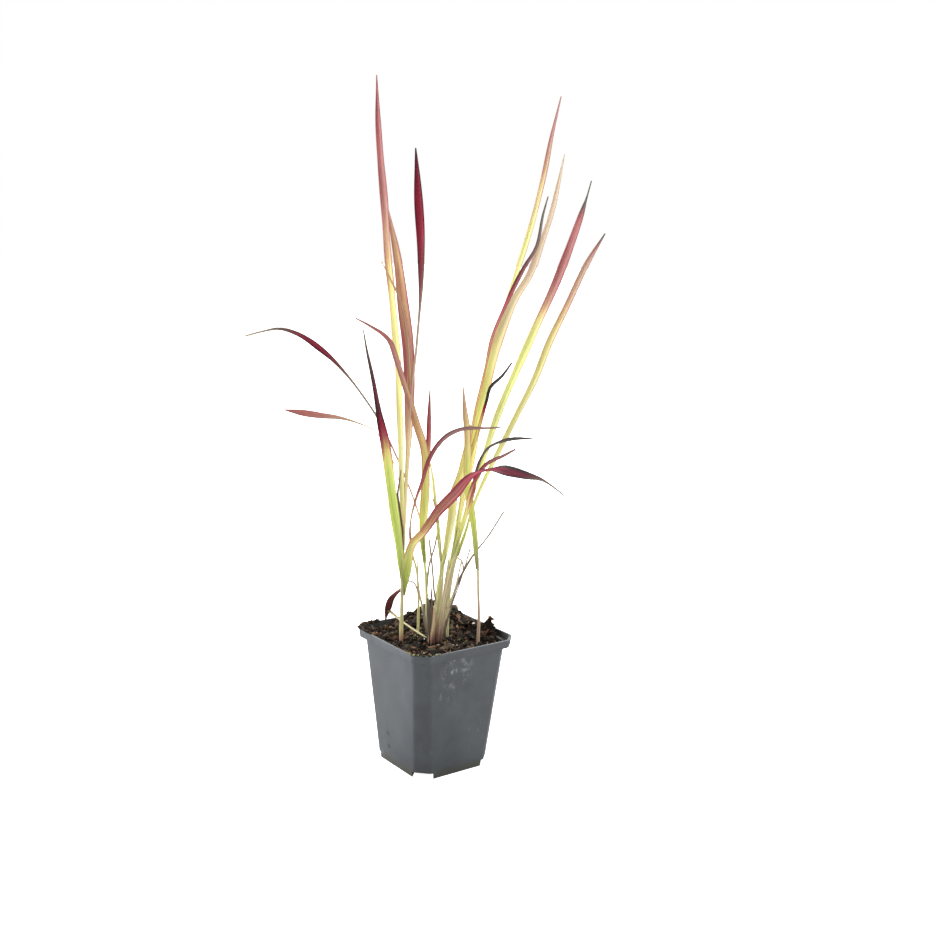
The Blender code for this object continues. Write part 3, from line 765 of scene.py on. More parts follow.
def scatter(name, models, count, sizes, tilt, lift, seed, area=41.0, near=None, rim=None):
    """Strews count copies of the models and joins them. sizes is the range of their length in mm, and
    lift how far each is raised, in lengths. near (x, y, spread) gathers them in the view frame, and rim
    lays them along a line of points on the pot's rim instead."""
    draw = np.random.default_rng(seed)
    copies = []
    for k in range(count):
        x, y = strewn_place(draw, area, near)
        size = draw.uniform(*sizes)
        if rim:
            step = draw.uniform(0, len(rim) - 1)
            x, y = (np.interp(step, range(len(rim)), [corner[axis] for corner in rim]) for axis in (0, 1))
            x, y = x + draw.normal(0, RIM_JITTER), y + draw.normal(0, RIM_JITTER)
        else:
            x, y = hold_inside(x, y, POT_HEIGHT)
        tip, roll, heading = draw.uniform(-tilt, tilt), draw.uniform(-tilt, tilt), draw.uniform(0, FULL_TURN)
        turn = Euler((tip, roll, heading)).to_matrix()
        ground = SHELF_LEVEL if max(abs(x), abs(y)) > NEAR_WALL else 0
        height = (POT_HEIGHT if rim else max(clod_height(x, y), ground)) + lift * size
        mesh = models[k % len(models)].data.copy()
        mesh.transform(Matrix.Translation(Vector((x, y, height)) * MM) @ (turn * size * MM).to_4x4())
        own = mesh.attributes.new("own", "FLOAT", "POINT")
        own.data.foreach_set("value", np.full(len(mesh.vertices), draw.uniform(0, 1), np.float32))
        copy = bpy.data.objects.new(f"{name}_{k}", mesh)
        bpy.context.scene.collection.objects.link(copy)
        copies.append(copy)
    return keep_in_pot(join(name, copies))


def keep_in_pot(heap):
    """Pulls each point below the rim's top inside the wall."""
    for v in heap.data.vertices:
        height = v.co.z / MM
        if height < POT_HEIGHT + 0.3:
            x, y = hold_inside(v.co.x / MM, v.co.y / MM, height)
            v.co.x, v.co.y = x * MM, y * MM
    return heap

# %% [markdown]
# The grains of one kind are not all of one colour. Each carries a random number from 0 to 1, its "own", and
# the finish looks that up on a ramp of the kind's colours. A fine noise mottles it, about a millimetre and
# a half apart, which is coarser than real bark dust but shows at this size.

# %% Finish: grains
GRAIN_MOTTLE = 1.42857
MOTTLE_RANGE = 0.35
MOTTLE_MIDDLE = -0.17


def grain_finish(name, colours, rough=0.85):
    made, tree = new_material(name)
    place = add_node(tree, "TexCoord").outputs["Object"]
    own = add_node(tree, "Attribute", {"attribute_name": "own"})
    speck = add_node(tree, "TexNoise", links={"Vector": place}, values={
        "Scale": noise_scale(GRAIN_MOTTLE), "Detail": 3.0})
    mottle = add_node(tree, "Math", {"operation": "MULTIPLY_ADD"}, {1: MOTTLE_RANGE, 2: MOTTLE_MIDDLE},
                      {0: speck.outputs["Fac"]})
    pick = add_node(tree, "Math", {"operation": "ADD"}, links={
        0: own.outputs["Fac"], 1: mottle.outputs[0]})
    last = len(colours) - 1
    tone = set_ramp(add_node(tree, "ValToRGB", links={"Fac": pick.outputs[0]}),
                    [(0.1 + 0.8 * k / last, c) for k, c in enumerate(colours)])
    bump = add_node(tree, "Bump", links={"Height": speck.outputs["Fac"]}, values={
        "Strength": 0.4, "Distance": 0.3 * MM})
    shader = add_node(tree, "BsdfPrincipled", values={
        "Roughness": rough, "Specular IOR Level": 0.2}, links={
        "Base Color": tone.outputs["Color"], "Normal": bump.outputs["Normal"]})
    return show(made, shader)


PEAT_CRUMB = grain_finish("damp_peat", ["#0c0906", "#1e150d", "#34261a", "#543f2d"])
MOSSY_CLOD = grain_finish("mossy_clod", ["#0f0d09", "#221d14", "#3a3123", "#574a38"])
BARK = grain_finish("shredded_bark", ["#150d09", "#30211a", "#53392b", "#7c604c"])
COIR = grain_finish("coir_fibre", ["#1d130e", "#39281d", "#5d4737", "#948269"])
MOSS = grain_finish("dry_moss", ["#1a1c0c", "#2f3018", "#56553a", "#8e8a6a"])
PERLITE = grain_finish("perlite", ["#cfcdc6", "#e8e6e0", "#f7f6f2"], 0.7)

# %% [markdown]
# Now the soil is laid. Small crumbs cover it all, with fewer clods, chips and threads among them. Moss
# grows round the crown and on the rim at the front corner, where water stands, and crumbs have spilled onto
# the rim at the left corner.

# %% Loose soil
FRONT_RIM = [(-26, -44.2), (-36, -44.2), (-44.2, -36), (-44.2, -30)]
LEFT_RIM = [(-44.2, 20), (-44.2, 36), (-36, 44.2), (-22, 44.2)]


def strew_soil():
    crumbs = [crumb_model(seed, stretch) for seed, stretch in (
        (1.3, (1, 0.8, 0.6)), (5.1, (1.1, 0.6, 0.5)), (8.4, (0.9, 0.9, 0.8)))]
    chips = [chip_model()]
    fibres = [fibre_model()]
    rows = [
        ("peat_crumbs", PEAT_CRUMB, crumbs, 1000, (0.9, 3.2), 0.9, 0.12, 11, {}),
        ("soil_clods", MOSSY_CLOD, crumbs, 120, (3.5, 8.0), 0.9, 0.1, 18, {"area": 39.0}),
        ("bark_chips", BARK, chips, 210, (1.8, 5.5), 0.9, 0.12, 12, {}),
        ("soil_fibres", COIR, fibres, 220, (3.0, 9.0), 0.5, 0.1, 13, {}),
        ("moss_bits", MOSS, crumbs, 190, (0.7, 2.4), 1.2, 0.3, 14, {"near": (-4, 0, 16)}),
        ("perlite_beads", PERLITE, crumbs, 26, (1.2, 2.4), 0.8, 0.25, 15, {}),
        ("rim_bits", MOSS, crumbs, 46, (0.8, 2.0), 1.2, 0.3, 16, {"rim": FRONT_RIM}),
        ("rim_crumbs", PEAT_CRUMB, crumbs, 110, (1.0, 2.8), 1.2, 0.25, 17, {"rim": LEFT_RIM}),
    ]
    for name, finish, models, count, sizes, tilt, lift, seed, where in rows:
        finish_piece(scatter(name, models, count, sizes, tilt, lift, seed, **where), finish, "soil")
    for model in crumbs + chips + fibres:
        bpy.data.objects.remove(model, do_unlink=True)


strew_soil()

# %% [markdown]
# A blade of blood grass is a thin, slightly folded strip with fine lengthwise veins. Light passes through
# it, so it glows where it is lit from behind. Two numbers on each point carry its age along the blade: ripe
# runs from the pale sheath through green, yellow and crimson to the dead tip, and dry fades it towards
# straw. The finish turns them into colour. Streaks and flecks along the veins break it up, and the edges
# run a little ahead, as the real change creeps down the blade from its tip and margins.

# %% Finish: grass blade
RIPENING = [(0.0, "#c6c3ad"), (0.08, "#d6dab0"), (0.17, "#d2df82"), (0.27, "#dfe992"), (0.38, "#f1eca4"),
            (0.46, "#e3c78c"), (0.54, "#cb9a74"), (0.63, "#b76670"), (0.73, "#b0384f"), (0.84, "#961f3d"),
            (0.92, "#5f1d30"), (1.0, "#3e3b36")]
EDGE_LEAD = 0.13
STREAK_LEAD = 0.07
FLECK_LEAD = 0.06
SEEN_THROUGH = 0.45


def long_grain(tree, across, length, detail, roughness=0.5):
    """Noise drawn out along the blade. across is its grains in half a width, and length its grain in mm. The
    blade's own number moves it to a place in the noise that no other blade has."""
    read = {key: add_node(tree, "Attribute", {"attribute_name": name}).outputs["Fac"]
            for key, name in (("X", "across"), ("Y", "along"), ("Z", "own"))}
    spot = add_node(tree, "CombineXYZ", links=read)
    drawn_out = add_node(tree, "Mapping", links={"Vector": spot.outputs[0]}, values={
        "Scale": (across, 1 / length, 40.0)})
    return add_node(tree, "TexNoise", links={"Vector": drawn_out.outputs["Vector"]}, values={
        "Scale": 1.0, "Detail": detail, "Roughness": roughness}).outputs["Fac"]


def blade_age(tree):
    """How ripe the blade is at each point: its own number, further on at the edges and along streaks and
    flecks."""
    ripe = add_node(tree, "Attribute", {"attribute_name": "ripe"}).outputs["Fac"]
    across = add_node(tree, "Attribute", {"attribute_name": "across"}).outputs["Fac"]
    out = add_node(tree, "Math", {"operation": "ABSOLUTE"}, links={0: across})
    edge = add_node(tree, "MapRange", {"interpolation_type": "SMOOTHSTEP"}, {
        "From Min": 0.4, "From Max": 1.0, "To Max": EDGE_LEAD}, {"Value": out.outputs[0]})
    streak = long_grain(tree, 3.2, 28.57, detail=3.0, roughness=0.6)
    shift = add_node(tree, "MapRange", links={"Value": streak}, values={
        "From Min": 0.3, "From Max": 0.7, "To Min": -STREAK_LEAD, "To Max": STREAK_LEAD})
    fleck = long_grain(tree, 2.6, 2.0, detail=4.0, roughness=0.7)
    fine = add_node(tree, "Math", {"operation": "MULTIPLY_ADD"}, {1: 2 * FLECK_LEAD, 2: -FLECK_LEAD},
                    {0: fleck})
    age = ripe
    for more in (edge.outputs["Result"], shift.outputs["Result"], fine.outputs[0]):
        age = add_node(tree, "Math", {"operation": "ADD"}, links={0: age, 1: more}).outputs[0]
    return age


def grass_blade():
    made, tree = new_material("blood_grass_blade")
    dry = add_node(tree, "Attribute", {"attribute_name": "dry"}).outputs["Fac"]
    tone = set_ramp(add_node(tree, "ValToRGB", links={"Fac": blade_age(tree)}), RIPENING)
    faded = add_node(tree, "Mix", {"data_type": "RGBA"}, {7: linear("#d6c9b2")}, {
        0: dry, 6: tone.outputs["Color"]})
    vein = long_grain(tree, 9.0, 50.0, detail=1.0)
    line = add_node(tree, "MapRange", links={"Value": vein}, values={
        "From Min": 0.35, "From Max": 0.65, "To Min": 0.86, "To Max": 1.06})
    colour = add_node(tree, "VectorMath", {"operation": "SCALE"}, links={
        0: faded.outputs[2], "Scale": line.outputs["Result"]})
    bump = add_node(tree, "Bump", links={"Height": vein}, values={
        "Strength": 0.25, "Distance": 0.2 * MM})
    shell = add_node(tree, "BsdfPrincipled", values={
        "Roughness": 0.5, "Specular IOR Level": 0.3}, links={
        "Base Color": colour.outputs[0], "Normal": bump.outputs["Normal"]})
    through = add_node(tree, "BsdfTranslucent", links={"Color": colour.outputs[0]})
    mix = add_node(tree, "MixShader", values={"Fac": SEEN_THROUGH}, links={
        1: shell.outputs[0], 2: through.outputs[0]})
    return show(made, mix)


LEAF = grass_blade()

# %% [markdown]
# Leaves and stalks follow smooth curves through a few points read off the plant. A cubic curve through them
# has no corners, and its slope at each point comes from the neighbours on both sides. Values that change
# along a leaf, such as its width, are smoothed in the same way.

# %% Smooth curves
CURVE_STEPS = 600
ROW_STEP = 4.5


def smooth_values(values, count):
    """Evenly spaced values along a smooth curve through the given ones."""
    v = np.array(values, float)
    slope = np.gradient(v)
    s = np.linspace(0, len(v) - 1, count)
    i = np.clip(s.astype(int), 0, len(v) - 2)
    u = s - i
    return (v[i] * (1 + 2 * u) * (1 - u) ** 2 + slope[i] * u * (1 - u) ** 2
            + v[i + 1] * u**2 * (3 - 2 * u) + slope[i + 1] * u**2 * (u - 1))


def smooth_path(points, count):
    """Points evenly spaced along a smooth curve through the given ones, its length and its directions."""
    p = np.array(points, float)
    gaps = np.linalg.norm(np.diff(p, axis=0), axis=1)
    t = np.concatenate([[0.0], np.cumsum(gaps)])
    slope = np.gradient(p, t, axis=0)
    fine = np.linspace(0, t[-1], CURVE_STEPS)
    i = np.clip(np.searchsorted(t, fine, side="right") - 1, 0, len(t) - 2)
    h = gaps[i][:, None]
    u = ((fine - t[i]) / gaps[i])[:, None]
    curve = (p[i] * (1 + 2 * u) * (1 - u) ** 2 + slope[i] * h * u * (1 - u) ** 2
             + p[i + 1] * u**2 * (3 - 2 * u) + slope[i + 1] * h * u**2 * (u - 1))
    run = np.concatenate([[0.0], np.cumsum(np.linalg.norm(np.diff(curve, axis=0), axis=1))])
    even = np.linspace(0, run[-1], count)
    centre = np.stack([np.interp(even, run, curve[:, k]) for k in range(3)], axis=1)
    along = np.gradient(centre, axis=0)
    return centre, run[-1], along / np.linalg.norm(along, axis=1)[:, None]


def rows_along(points, fewest):
    """How many rows a leaf or stalk along these points gets, one to each ROW_STEP of its length."""
    return max(fewest, round(smooth_path(points, 2)[1] / ROW_STEP))


def sides_of(along):
    """For each direction, the one across it as seen from the front, and the one towards the viewer."""
    side = np.cross(along, (0.0, -1.0, 0.2))
    side /= np.linalg.norm(side, axis=1)[:, None]
    return side, np.cross(side, along)

# %% [markdown]
# A leaf or stalk starts as a plain grid or cylinder, and all its points are moved at once. The numbers that
# the finish reads are written on them as attributes: across in half widths, along in millimetres, ripe, dry
# and own.

# %% Placing points and their numbers
def own_number(name):
    """A number from 0 to 1 that belongs to a name, so that each leaf has its own streaks on every run."""
    return (sum((k + 3) * ord(c) for k, c in enumerate(name)) * 0.0137) % 1.0


def points_of(mesh):
    flat = np.empty(len(mesh.vertices) * 3, np.float32)
    mesh.vertices.foreach_get("co", flat)
    return flat.reshape(-1, 3).astype(float)


def lay_out(mesh, place, numbers, own):
    """Moves the mesh's points to their places (view frame, mm) and writes the numbers that its finish
    reads."""
    turned_place = place.copy()
    turned_place[:, 0], turned_place[:, 1] = to_part(place[:, 0], place[:, 1])
    mesh.vertices.foreach_set("co", (turned_place * MM).astype(np.float32).ravel())
    for key, values in {**numbers, "own": np.full(len(place), own)}.items():
        mesh.attributes.new(key, "FLOAT", "POINT").data.foreach_set("value", values.astype(np.float32))
    mesh.update()

# %% [markdown]
# Each row of a blade's grid is laid on the curve, and gets its width and its turn there. At the root the
# blade is rolled into the sheath that clasps the stalk. Within 30 mm it opens to a shallow trough with a
# crease at its midrib, and its edges ripple a little. A Solidify modifier gives it its thickness.

# %% Grass blades
BLADE_COLUMNS = 10
BLADE_THICK = 0.35
OPENING_RUN = 30.0
THINNEST = 0.5
CLASP_WIDTH = 3.2
TROUGH_WRAP = 0.35
CLASP_WRAP = 2.0
CREASE = 0.10
RIPPLE = 0.3


def blade_section(a, width, closed, own, run):
    """How far each point stands out sideways and towards the viewer. a is its place across, from -1 to 1."""
    wrap = TROUGH_WRAP + CLASP_WRAP * closed
    radius = width / 2 / wrap
    crease = CREASE * width * (1 - closed) * (np.sqrt(a**2 + 0.02) - 0.5)
    rise = radius * (1 - np.cos(a * wrap)) + crease - radius * closed
    ripple = RIPPLE * a**2 * np.sin(run / (7 + 5 * own) + 2.2 * a + 9 * own) * np.clip(width / 6, 0, 1)
    return radius * np.sin(a * wrap), rise + ripple * (1 - closed)


def blade(name, points, widths, turns, ripe, dry, clasp=1.0):
    """A grass blade. widths and turns run from root to tip, and so do ripe and dry, which the finish
    reads."""
    rows = rows_along(points, 12)
    centre, length, along = smooth_path(points, rows + 1)
    deselect()
    bpy.ops.mesh.primitive_grid_add(x_subdivisions=BLADE_COLUMNS, y_subdivisions=rows, size=2)
    leaf = bpy.context.object
    grid = points_of(leaf.data)
    across, k = grid[:, 0], np.rint((grid[:, 1] + 1) / 2 * rows).astype(int)
    run = np.linspace(0, length, rows + 1)
    side, front = sides_of(along)
    turn = np.radians(smooth_values(turns, rows + 1))[:, None]
    lean = side * np.cos(turn) + front * np.sin(turn)
    face = np.cross(lean, along)
    open_by = np.clip(run / min(OPENING_RUN, length / 2), 0, 1)
    closed = clasp * (1 - open_by**2 * (3 - 2 * open_by))
    width = np.maximum(smooth_values(widths, rows + 1), THINNEST) + closed * CLASP_WIDTH
    own = own_number(name)
    out, rise = blade_section(across, width[k], closed[k], own, run[k])
    place = centre[k] + lean[k] * out[:, None] + face[k] * rise[:, None]
    lay_out(leaf.data, place, {"across": across, "along": run[k], "ripe": smooth_values(ripe, rows + 1)[k],
                               "dry": smooth_values(dry, rows + 1)[k]}, own)
    shade_smooth(leaf)
    wall = leaf.modifiers.new("thickness", "SOLIDIFY")
    wall.thickness = BLADE_THICK * MM
    wall.offset = 0.0
    apply_modifiers(leaf)
    leaf.name = name
    return leaf

# %% [markdown]
# A stalk is a cylinder whose long edges are divided, so that it can follow its own curve. Five shallow ribs
# run up it. It stands upright in the soil first, because it was pushed up through it, and then leans out.

# %% Stalks
STALK_SIDES = 12
STEM_SINK = 16.0
RIBS = 5
RIB_HEIGHT = 0.07


def stem(name, points, radii, ripe, dry):
    """A round stalk along a smooth path, with closed ends."""
    rows = rows_along(points, 6)
    centre, length, along = smooth_path(points, rows + 1)
    deselect()
    bpy.ops.mesh.primitive_cylinder_add(vertices=STALK_SIDES, radius=1, depth=2)
    stalk = bpy.context.object
    select_edges(stalk, lambda p, q: abs(p.z - q.z) > 0.5)
    bpy.ops.mesh.subdivide(number_cuts=rows - 1)
    deselect()
    ring = points_of(stalk.data)
    k = np.rint((ring[:, 2] + 1) / 2 * rows).astype(int)
    side, front = sides_of(along)
    angle = np.arctan2(ring[:, 0], ring[:, 1])
    own = own_number(name)
    ribs = 1 + RIB_HEIGHT * np.sin(RIBS * angle + 7 * own)
    out = (smooth_values(radii, rows + 1)[k] * ribs)[:, None]
    place = centre[k] + side[k] * np.sin(angle)[:, None] * out + front[k] * np.cos(angle)[:, None] * out
    run = np.linspace(0, length, rows + 1)
    lay_out(stalk.data, place, {"across": angle / math.pi, "along": run[k],
                                "ripe": smooth_values(ripe, rows + 1)[k],
                                "dry": smooth_values(dry, rows + 1)[k]}, own)
    edit_all(stalk)
    face_outwards()
    shade_smooth(stalk, lambda face: len(face.vertices) == 4)
    stalk.name = name
    return stalk


def sunk(x, y, path):
    """A stalk's path: upright in the soil, then on through the given points."""
    height = soil_height(x, y)
    return [(x, y, height - STEM_SINK), (x, y, height - STEM_SINK / 2), (x, y, height + 1), *path]


def tiller(node, pieces, slot="leaf"):
    """Joins a tiller's stalk and leaves into one piece that stands for its CAD node."""
    return finish_piece(join(node + "_grown", pieces), LEAF, slot, node)

# %% [markdown]
# The left tiller is the oldest. Five upright leaves stand on it, from the tall straw-yellow one to the
# crimson one. Each call gives the points of a leaf from its root to its tip, in the view frame, read off
# the plant. turns says how far it shows its face: at 0 degrees the whole of it, and at 90 only its
# edge.

# %% Left tiller: upright leaves
left_upright = [
    stem("left_stem",
        sunk(-25, -11, [(-25, -11, 115), (-25, -11, 137), (-25, -10, 160), (-25, -10, 178)]),
        radii=[1.5, 1.5, 1.4, 1.3, 1.0],
        ripe=[0.64, 0.62, 0.12, 0.08, 0.1, 0.12, 0.15],
        dry=[0.4, 0.5, 0.6, 0.5, 0.5, 0.4, 0.3]),
    blade("left_tall",
        [(-25, -10, 150), (-26, -5, 201), (-28, 2, 244), (-31, 12, 298), (-34, 18, 326), (-40, 28, 376),
         (-45, 37, 426), (-49, 44, 461), (-52, 52, 504)],
        widths=[2.5, 4, 6, 7.5, 8, 8, 7.5, 6, 0.8],
        turns=[10, 30, 45, 50, 50, 48, 42, 40, 35],
        ripe=[0.1, 0.2, 0.26, 0.28, 0.3, 0.32, 0.34, 0.4, 0.52, 0.63, 0.68, 0.7, 0.72],
        dry=[0.2, 0.3, 0.5, 0.45, 0.35, 0.3, 0.25, 0.25, 0.35, 0.3, 0.25, 0.2, 0.2]),
    blade("left_lime",
        [(-25, -11, 142), (-28, -15, 174), (-31, -20, 197), (-34, -25, 220), (-38, -31, 250),
         (-42, -36, 270), (-47, -42, 297), (-51, -47, 316), (-53, -51, 328)],
        widths=[2.5, 5.5, 7.5, 8, 8, 7.5, 5, 3, 0.8],
        turns=[0, 20, 28, 28, 28, 35, 48, 52, 45],
        ripe=[0.08, 0.14, 0.2, 0.22, 0.26, 0.5, 0.88, 0.88, 0.95, 1],
        dry=[0.2, 0.1, 0, 0, 0, 0, 0, 0, 0.1, 0.3]),
    blade("left_crimson",
        [(-25, -10, 160), (-23, -18, 223), (-21, -26, 271), (-17, -36, 321), (-15, -44, 355),
         (-15, -49, 379), (-17, -55, 411), (-20, -62, 447)],
        widths=[1.5, 1.7, 1.8, 1.8, 1.7, 1.7, 1.8, 2.2, 4.8, 6.6, 5.6, 0.8],
        turns=[60, 60, 50, 40, 35, 35, 35, 30, 25, 22],
        ripe=[0.25, 0.3, 0.33, 0.36, 0.5, 0.7, 0.9, 0.88, 0.84, 0.76, 0.78, 0.92],
        dry=[0.3, 0.4, 0.5, 0.5, 0.6, 0.7, 0.75, 0.4, 0.1, 0, 0, 0]),
    blade("left_orange",
        [(-25, -10, 162), (-23, -6, 213), (-22, -2, 253), (-22, 2, 281), (-24, 5, 313), (-28, 8, 342),
         (-33, 11, 375), (-41, 15, 410)],
        widths=[2.5, 3, 4, 6, 8, 9.2, 9.4, 9.2, 8, 5.2, 0.8],
        turns=[40, 50, 50, 40, 28, 24, 24, 30, 35],
        ripe=[0.25, 0.35, 0.4, 0.44, 0.5, 0.56, 0.57, 0.54, 0.52, 0.52, 0.6],
        dry=[0.3, 0.4, 0.5, 0.5, 0.4, 0.2, 0.2, 0.25, 0.25, 0.3, 0.4]),
    blade("left_sliver",
        [(-22, 1, 274), (-25, 2, 321), (-31, 2, 347), (-37, 1, 359), (-44, 0, 372)],
        widths=[2, 2.4, 2.2, 1.6, 0.7],
        turns=[30, 30, 30, 30, 30],
        ripe=[0.45, 0.5, 0.55, 0.5, 0.42],
        dry=[0.4, 0.4, 0.4, 0.4, 0.3]),
]
print("upright leaves:", len(left_upright) - 1)

# %% [markdown]
# A broad leaf arches from the left tiller over the pot to the right, crinkled and dark at its tip. Others
# droop, fall outwards or curl up as they dry.

# %% Left tiller: side leaves
left_side = [
    blade("left_side",
        [(-25, -10, 170), (-27, -13, 203), (-30, -15, 224), (-37, -19, 241), (-46, -23, 255),
         (-58, -27, 261), (-70, -31, 265), (-83, -35, 267), (-107, -42, 271)],
        widths=[1.2, 1.2, 1.2, 1.2, 1.2, 1.2, 1.2, 1.4, 2.4, 4.8, 5.4, 0.8],
        turns=[60, 65, 68, 68, 66, 60, 42, 35, 30],
        ripe=[0.25, 0.3, 0.36, 0.4, 0.45, 0.5, 0.58, 0.66, 0.74],
        dry=[0.4, 0.4, 0.4, 0.5, 0.7, 0.9, 0.6, 0.35, 0.35]),
    blade("left_drooping",
        [(-24, -11, 131), (-21, -13, 157), (-18, -17, 171), (-10, -22, 182), (0, -30, 199), (12, -42, 215),
         (22, -54, 229), (32, -64, 236), (40, -70, 238), (49, -77, 238), (59, -85, 237), (68, -92, 236),
         (76, -98, 232), (82, -102, 228)],
        widths=[3, 7, 6.5, 6, 6.5, 7.4, 7.6, 6.8, 5, 7.5, 6, 2.2, 0.8],
        turns=[0, 0, 10, 15, 8, 5, 8, 20, 45, 76, 15, 18, 40, 30],
        ripe=[0.16, 0.24, 0.34, 0.44, 0.56, 0.6, 0.62, 0.7, 0.8, 0.87, 0.9, 0.94, 1],
        dry=[0.3, 0.1, 0.1, 0.1, 0.1, 0.1, 0.1, 0, 0, 0, 0, 0.2, 0.5]),
    blade("left_fallen",
        [(-25, -11, 136), (-30, -3, 130), (-34, 4, 123), (-36, 10, 115), (-37, 15, 109), (-38, 19, 102)],
        widths=[1.5, 3, 5, 6, 5, 0.8],
        turns=[50, 45, 35, 30, 40, 45],
        ripe=[0.7, 0.86, 0.88, 0.88],
        dry=[0.3, 0.15, 0.12, 0.2]),
    blade("left_dry_curl",
        [(-25, -10, 162), (-26, -15, 181), (-28, -18, 199), (-29, -20, 209), (-28, -19, 218),
         (-27, -17, 226)],
        widths=[1.2, 1.8, 2.4, 2.2, 1.6, 0.7],
        turns=[40, 30, 20, 30, 40, 50],
        ripe=[0.8, 0.9, 0.9],
        dry=[0.3, 0.2, 0.2]),
]
tiller("left_tiller", left_upright + left_side)

# %% [markdown]
# Two thin tillers stand at the crown's front. One leaf arches to the right, and a mauve one and a long thin
# one lean out to the left.

# %% Front and middle tillers
tiller("front_tiller", [
    stem("front_stem",
        sunk(-13, 5, [(-13, 5, 120), (-14, 2, 139), (-15, 0, 148), (-18, -4, 160), (-20, -8, 172)]),
        radii=[1.0, 1.0, 0.9, 0.8, 0.8],
        ripe=[0.2, 0.3, 0.3, 0.3],
        dry=[0.6, 0.6, 0.5, 0.5]),
    blade("front_arch",
        [(-18, -5, 162), (-20, -9, 180), (-16.4, -15, 203), (-11.6, -21, 219), (-7.4, -27, 235),
         (-1.6, -33, 247), (6.6, -40, 256.4), (15, -46, 261), (31, -57, 264), (41, -64, 266)],
        widths=[1.2, 1.6, 2.2, 2.8, 3.4, 3.6, 2.6, 0.8],
        turns=[50, 55, 40, 30, 20, 30, 35, 30],
        ripe=[0.45, 0.5, 0.56, 0.66, 0.8, 0.85, 0.87, 0.9],
        dry=[0.4, 0.3, 0.1, 0.1, 0.15, 0.2, 0.2, 0.3]),
    stem("front_hook",
        [(-13, 4, 128), (-17, -1, 138), (-20, -3, 140), (-22, -4, 137)],
        radii=[0.7, 0.6, 0.6, 0.6],
        ripe=[0.95, 0.95],
        dry=[0.75, 0.75]),
])
tiller("middle_tiller", [
    stem("middle_stem",
        sunk(-6, 12, [(-7, 12, 120), (-8, 11, 141), (-10, 9, 157), (-11, 8, 170)]),
        radii=[1.2, 1.2, 1.1, 1.0, 0.9],
        ripe=[0.05, 0.1, 0.15, 0.2],
        dry=[0.5, 0.5, 0.4, 0.3]),
    blade("middle_mauve",
        [(-9, 9, 151), (-11, 6, 176), (-10, 4, 192), (-9, 0, 216), (-11, -5, 241), (-16, -9, 257),
         (-21, -13, 274), (-26, -17, 289), (-31, -21, 305), (-36, -26, 319), (-50, -36, 330),
         (-59, -42, 335)],
        widths=[2.5, 5, 7, 7.5, 7, 6.5, 6, 5, 5, 3, 0.8],
        turns=[20, 25, 25, 30, 35, 35, 35, 40, 45, 45, 40],
        ripe=[0.15, 0.24, 0.31, 0.35, 0.42, 0.49, 0.54, 0.64, 0.72, 0.78],
        dry=[0.1, 0.1, 0.15, 0.2, 0.3, 0.3, 0.35, 0.4, 0.35, 0.4]),
    blade("middle_arch",
        [(-9, 9, 156), (-13, 11, 183), (-18, 13, 198), (-23, 15, 210), (-34, 19, 234), (-47, 24, 258),
         (-58, 28, 273), (-68, 32, 285), (-88, 39, 304), (-108, 45, 316), (-122, 49, 319), (-136, 53, 316),
         (-149, 57, 312)],
        widths=[1.4, 1.6, 1.7, 1.7, 1.7, 1.7, 1.8, 1.8, 3.0, 5.8, 4.4, 1.8, 1.4],
        turns=[45, 45, 40, 40, 40, 35, 30, 35, 48, 50, 40],
        ripe=[0.35, 0.42, 0.46, 0.55, 0.8, 0.93, 0.97, 0.95, 0.86, 0.8, 0.86, 1, 1],
        dry=[0.5, 0.5, 0.55, 0.6, 0.5, 0.45, 0.45, 0.4, 0.1, 0, 0.1, 0.5, 0.85]),
    blade("middle_red",
        [(-10, 8, 165), (-9, 7, 184), (-8, 8, 222), (-8, 11, 243), (-8, 14, 265), (-8, 16, 280)],
        widths=[1.5, 2, 3, 4, 3.6, 0.8],
        turns=[40, 40, 35, 25, 30, 30],
        ripe=[0.2, 0.28, 0.34, 0.38, 0.5, 0.7, 0.8, 0.84],
        dry=[0.2, 0.2, 0.1, 0.1, 0.1, 0.1, 0.2, 0.2]),
    stem("middle_side",
        [(-7, 12, 130), (-5, 13, 151), (-2, 14, 161), (0, 15, 172)],
        radii=[0.8, 0.75, 0.7, 0.7],
        ripe=[0.96, 0.96],
        dry=[0.6, 0.6]),
])

# %% [markdown]
# Two short tillers stand in the middle and at the back, with pale leaves that have lost their colour.

# %% Small tillers
tiller("centre_tiller", [
    stem("centre_stem",
        sunk(0, 1, [(1, 1, 118), (2, 0, 129), (3, -2, 146), (3, -3, 158), (2, -3, 172)]),
        radii=[1.2, 1.2, 1.1, 0.9, 0.8],
        ripe=[0.1, 0.2, 0.25],
        dry=[0.6, 0.6, 0.6]),
    blade("centre_pale",
        [(3, -3, 156), (0, 0, 186), (-2, 2, 200), (-4, 4, 215), (-7, 7, 230)],
        widths=[1.5, 3, 3.2, 2.4, 0.8],
        turns=[50, 45, 40, 40, 45],
        ripe=[0.15, 0.22, 0.3, 0.34],
        dry=[0.4, 0.3, 0.3, 0.3]),
    blade("centre_stub",
        [(0, 0, 184), (-1, -3, 194), (-4, -6, 203)],
        widths=[1.5, 2.2, 0.8],
        turns=[30, 30, 30],
        ripe=[0.3, 0.4, 0.5],
        dry=[0.6, 0.6, 0.6]),
    stem("centre_side",
        [(1, 1, 119), (-1, 3, 128), (-3, 4, 147), (-6, 4, 170)],
        radii=[0.8, 0.75, 0.7, 0.7],
        ripe=[0.96, 0.92],
        dry=[0.65, 0.6]),
])
